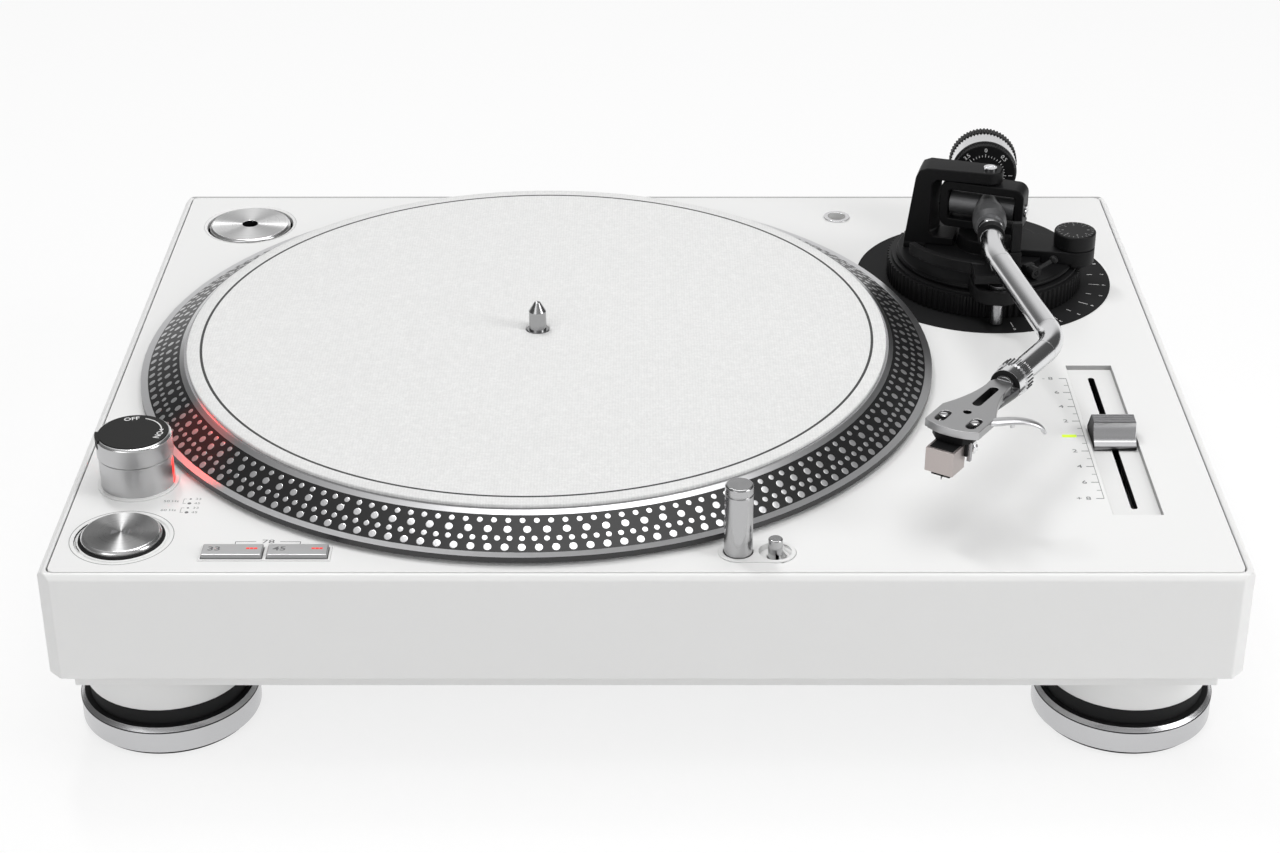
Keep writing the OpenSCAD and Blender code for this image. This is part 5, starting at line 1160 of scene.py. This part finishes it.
def make_sky():
    """A soft studio, bright overhead, at the back and at the front, and a little brighter on the left."""
    world = bpy.data.worlds.new("studio")
    world.use_nodes = True
    direction = node(world, "TexCoord", {}).outputs["Generated"]
    parts = node(world, "SeparateXYZ", {"Vector": direction}).outputs
    ramp = node(world, "ValToRGB", {"Fac": parts["Z"]})
    for i, (height, level) in enumerate(SKY):
        stop = ramp.color_ramp.elements[i] if i < 2 else ramp.color_ramp.elements.new(height)
        stop.position = height
        stop.color = (level, level, level, 1.0)
    across = {"Value": parts["X"], "From Min": -1.0, "To Min": SKY_LEFT, "To Max": SKY_RIGHT}
    side = node(world, "MapRange", across).outputs["Result"]
    light = math_out(world, "MULTIPLY", ramp.outputs["Color"], side)
    for start, full, level in SKY_PANELS:
        reach = {"Value": parts["Y"], "From Min": start, "From Max": full, "To Max": level}
        panel = node(world, "MapRange", reach, interpolation_type="SMOOTHSTEP").outputs["Result"]
        light = math_out(world, "ADD", light, panel)
    sky = world.node_tree.nodes["Background"]
    sky.inputs["Color"].default_value = (1, 1, 1, 1)
    world.node_tree.links.new(light, sky.inputs["Strength"])
    bpy.context.scene.world = world


# Soft lamps, in metres and watts: place, what it faces, width, depth and power
LAMPS = {"top_light": ((0.2, 0.0, 1.6), (0, 0, 0.1), 1.1, 1.1, 9.4),
         "streak_light": ((-0.43, 0.46, 1.45), (-0.18, -0.14, 0.09), 0.12, 0.4, 5.0),
         "front_light": ((-0.9, -1.3, 0.9), (0, 0, 0.08), 0.9, 0.9, 3.7),
         "right_light": ((1.3, -0.5, 0.8), (0, 0, 0.08), 0.5, 1.0, 8.6)}


def make_light():
    for name, lamp in LAMPS.items():
        area_light(name, *lamp)
    make_sky()


# The strobe's glow: its middle from the platter's axis, the light's place from there, its power and spread
GLOW_AT = (-131.5, -81.5)
GLOW_FROM = (0, 26.0, 55.0)
GLOW_POWER = 0.55
GLOW_ANGLE = 43.0


def make_strobe_glow():
    """The red light that the strobe lamp throws on the platter's edge, and on nothing else."""
    lit_pieces = bpy.data.collections.new("strobe_lit")
    for thing in (NODES["platter"], bpy.data.objects["strobe_dots"]):
        lit_pieces.objects.link(thing)
    data = bpy.data.lights.new("strobe_glow", "SPOT")
    data.color = (1.0, 0.03, 0.015)
    data.energy = GLOW_POWER
    data.spot_size = math.radians(GLOW_ANGLE)
    data.spot_blend = 1.0
    data.shadow_soft_size = 0.004
    lamp = bpy.data.objects.new("strobe_glow", data)
    aim = Vector((PLATTER.x + GLOW_AT[0], PLATTER.y + GLOW_AT[1], SEAT - 5.0))
    lamp.location = (aim + Vector(GLOW_FROM)) * MM
    lamp.rotation_euler = (aim * MM - lamp.location).to_track_quat("-Z", "Y").to_euler()
    show(lamp)
    lamp.light_linking.receiver_collection = lit_pieces


# How far the floor reaches in metres, and how far it is lifted to white where it is seen
FLOOR_REACH = 6.0
FLOOR_WHITE = 0.8


def whiten(material):
    """Lifts a floor towards white where the eye, a mirror or glass sees it; the shadow stays on it."""
    tree = material.node_tree
    ray = node(material, "LightPath", {}).outputs
    seen = math_out(material, "MAXIMUM", ray["Is Camera Ray"], ray["Is Glossy Ray"])
    seen = math_out(material, "MAXIMUM", seen, ray["Is Transmission Ray"])
    share = math_out(material, "MULTIPLY", seen, FLOOR_WHITE)
    glow = node(material, "Emission", {"Strength": 1.0}).outputs[0]
    plain = principled(material).outputs["BSDF"]
    both = node(material, "MixShader", {0: share, 1: plain, 2: glow}).outputs[0]
    tree.links.new(both, tree.nodes["Material Output"].inputs["Surface"])


def make_floor():
    mesh = bpy.data.meshes.new("floor")
    corners = [(x, y, 0) for x, y in rectangle(2 * FLOOR_REACH, 2 * FLOOR_REACH)]
    mesh.from_pydata(corners, [], [(0, 1, 2, 3)])
    floor = bpy.data.objects.new("floor", mesh)
    material = grained("pale_floor", (0.95, 0.95, 0.95), 0.7, 6.0, 0.01, tint=0.005)
    whiten(material)
    mesh.materials.append(material)
    show(floor)


make_camera()
dress_plain()
dress_deck()
dress_platter()
dress_controls()
dress_arm()
round_nodes()
make_slipmat()
make_strobe_dots()
make_power_cap()
make_start_button_trim()
make_well_lining()
make_key_marks()
make_deck_print()
make_arm_scale()
make_dial_marks()
make_skate_marks()
make_cartridge_screws()
make_cartridge()
make_finger_lift()
make_gasket()
make_foot_lines()
make_fader_grip()
make_light()
make_strobe_glow()
make_floor()
bpy.context.scene.view_settings.view_transform = "Standard"
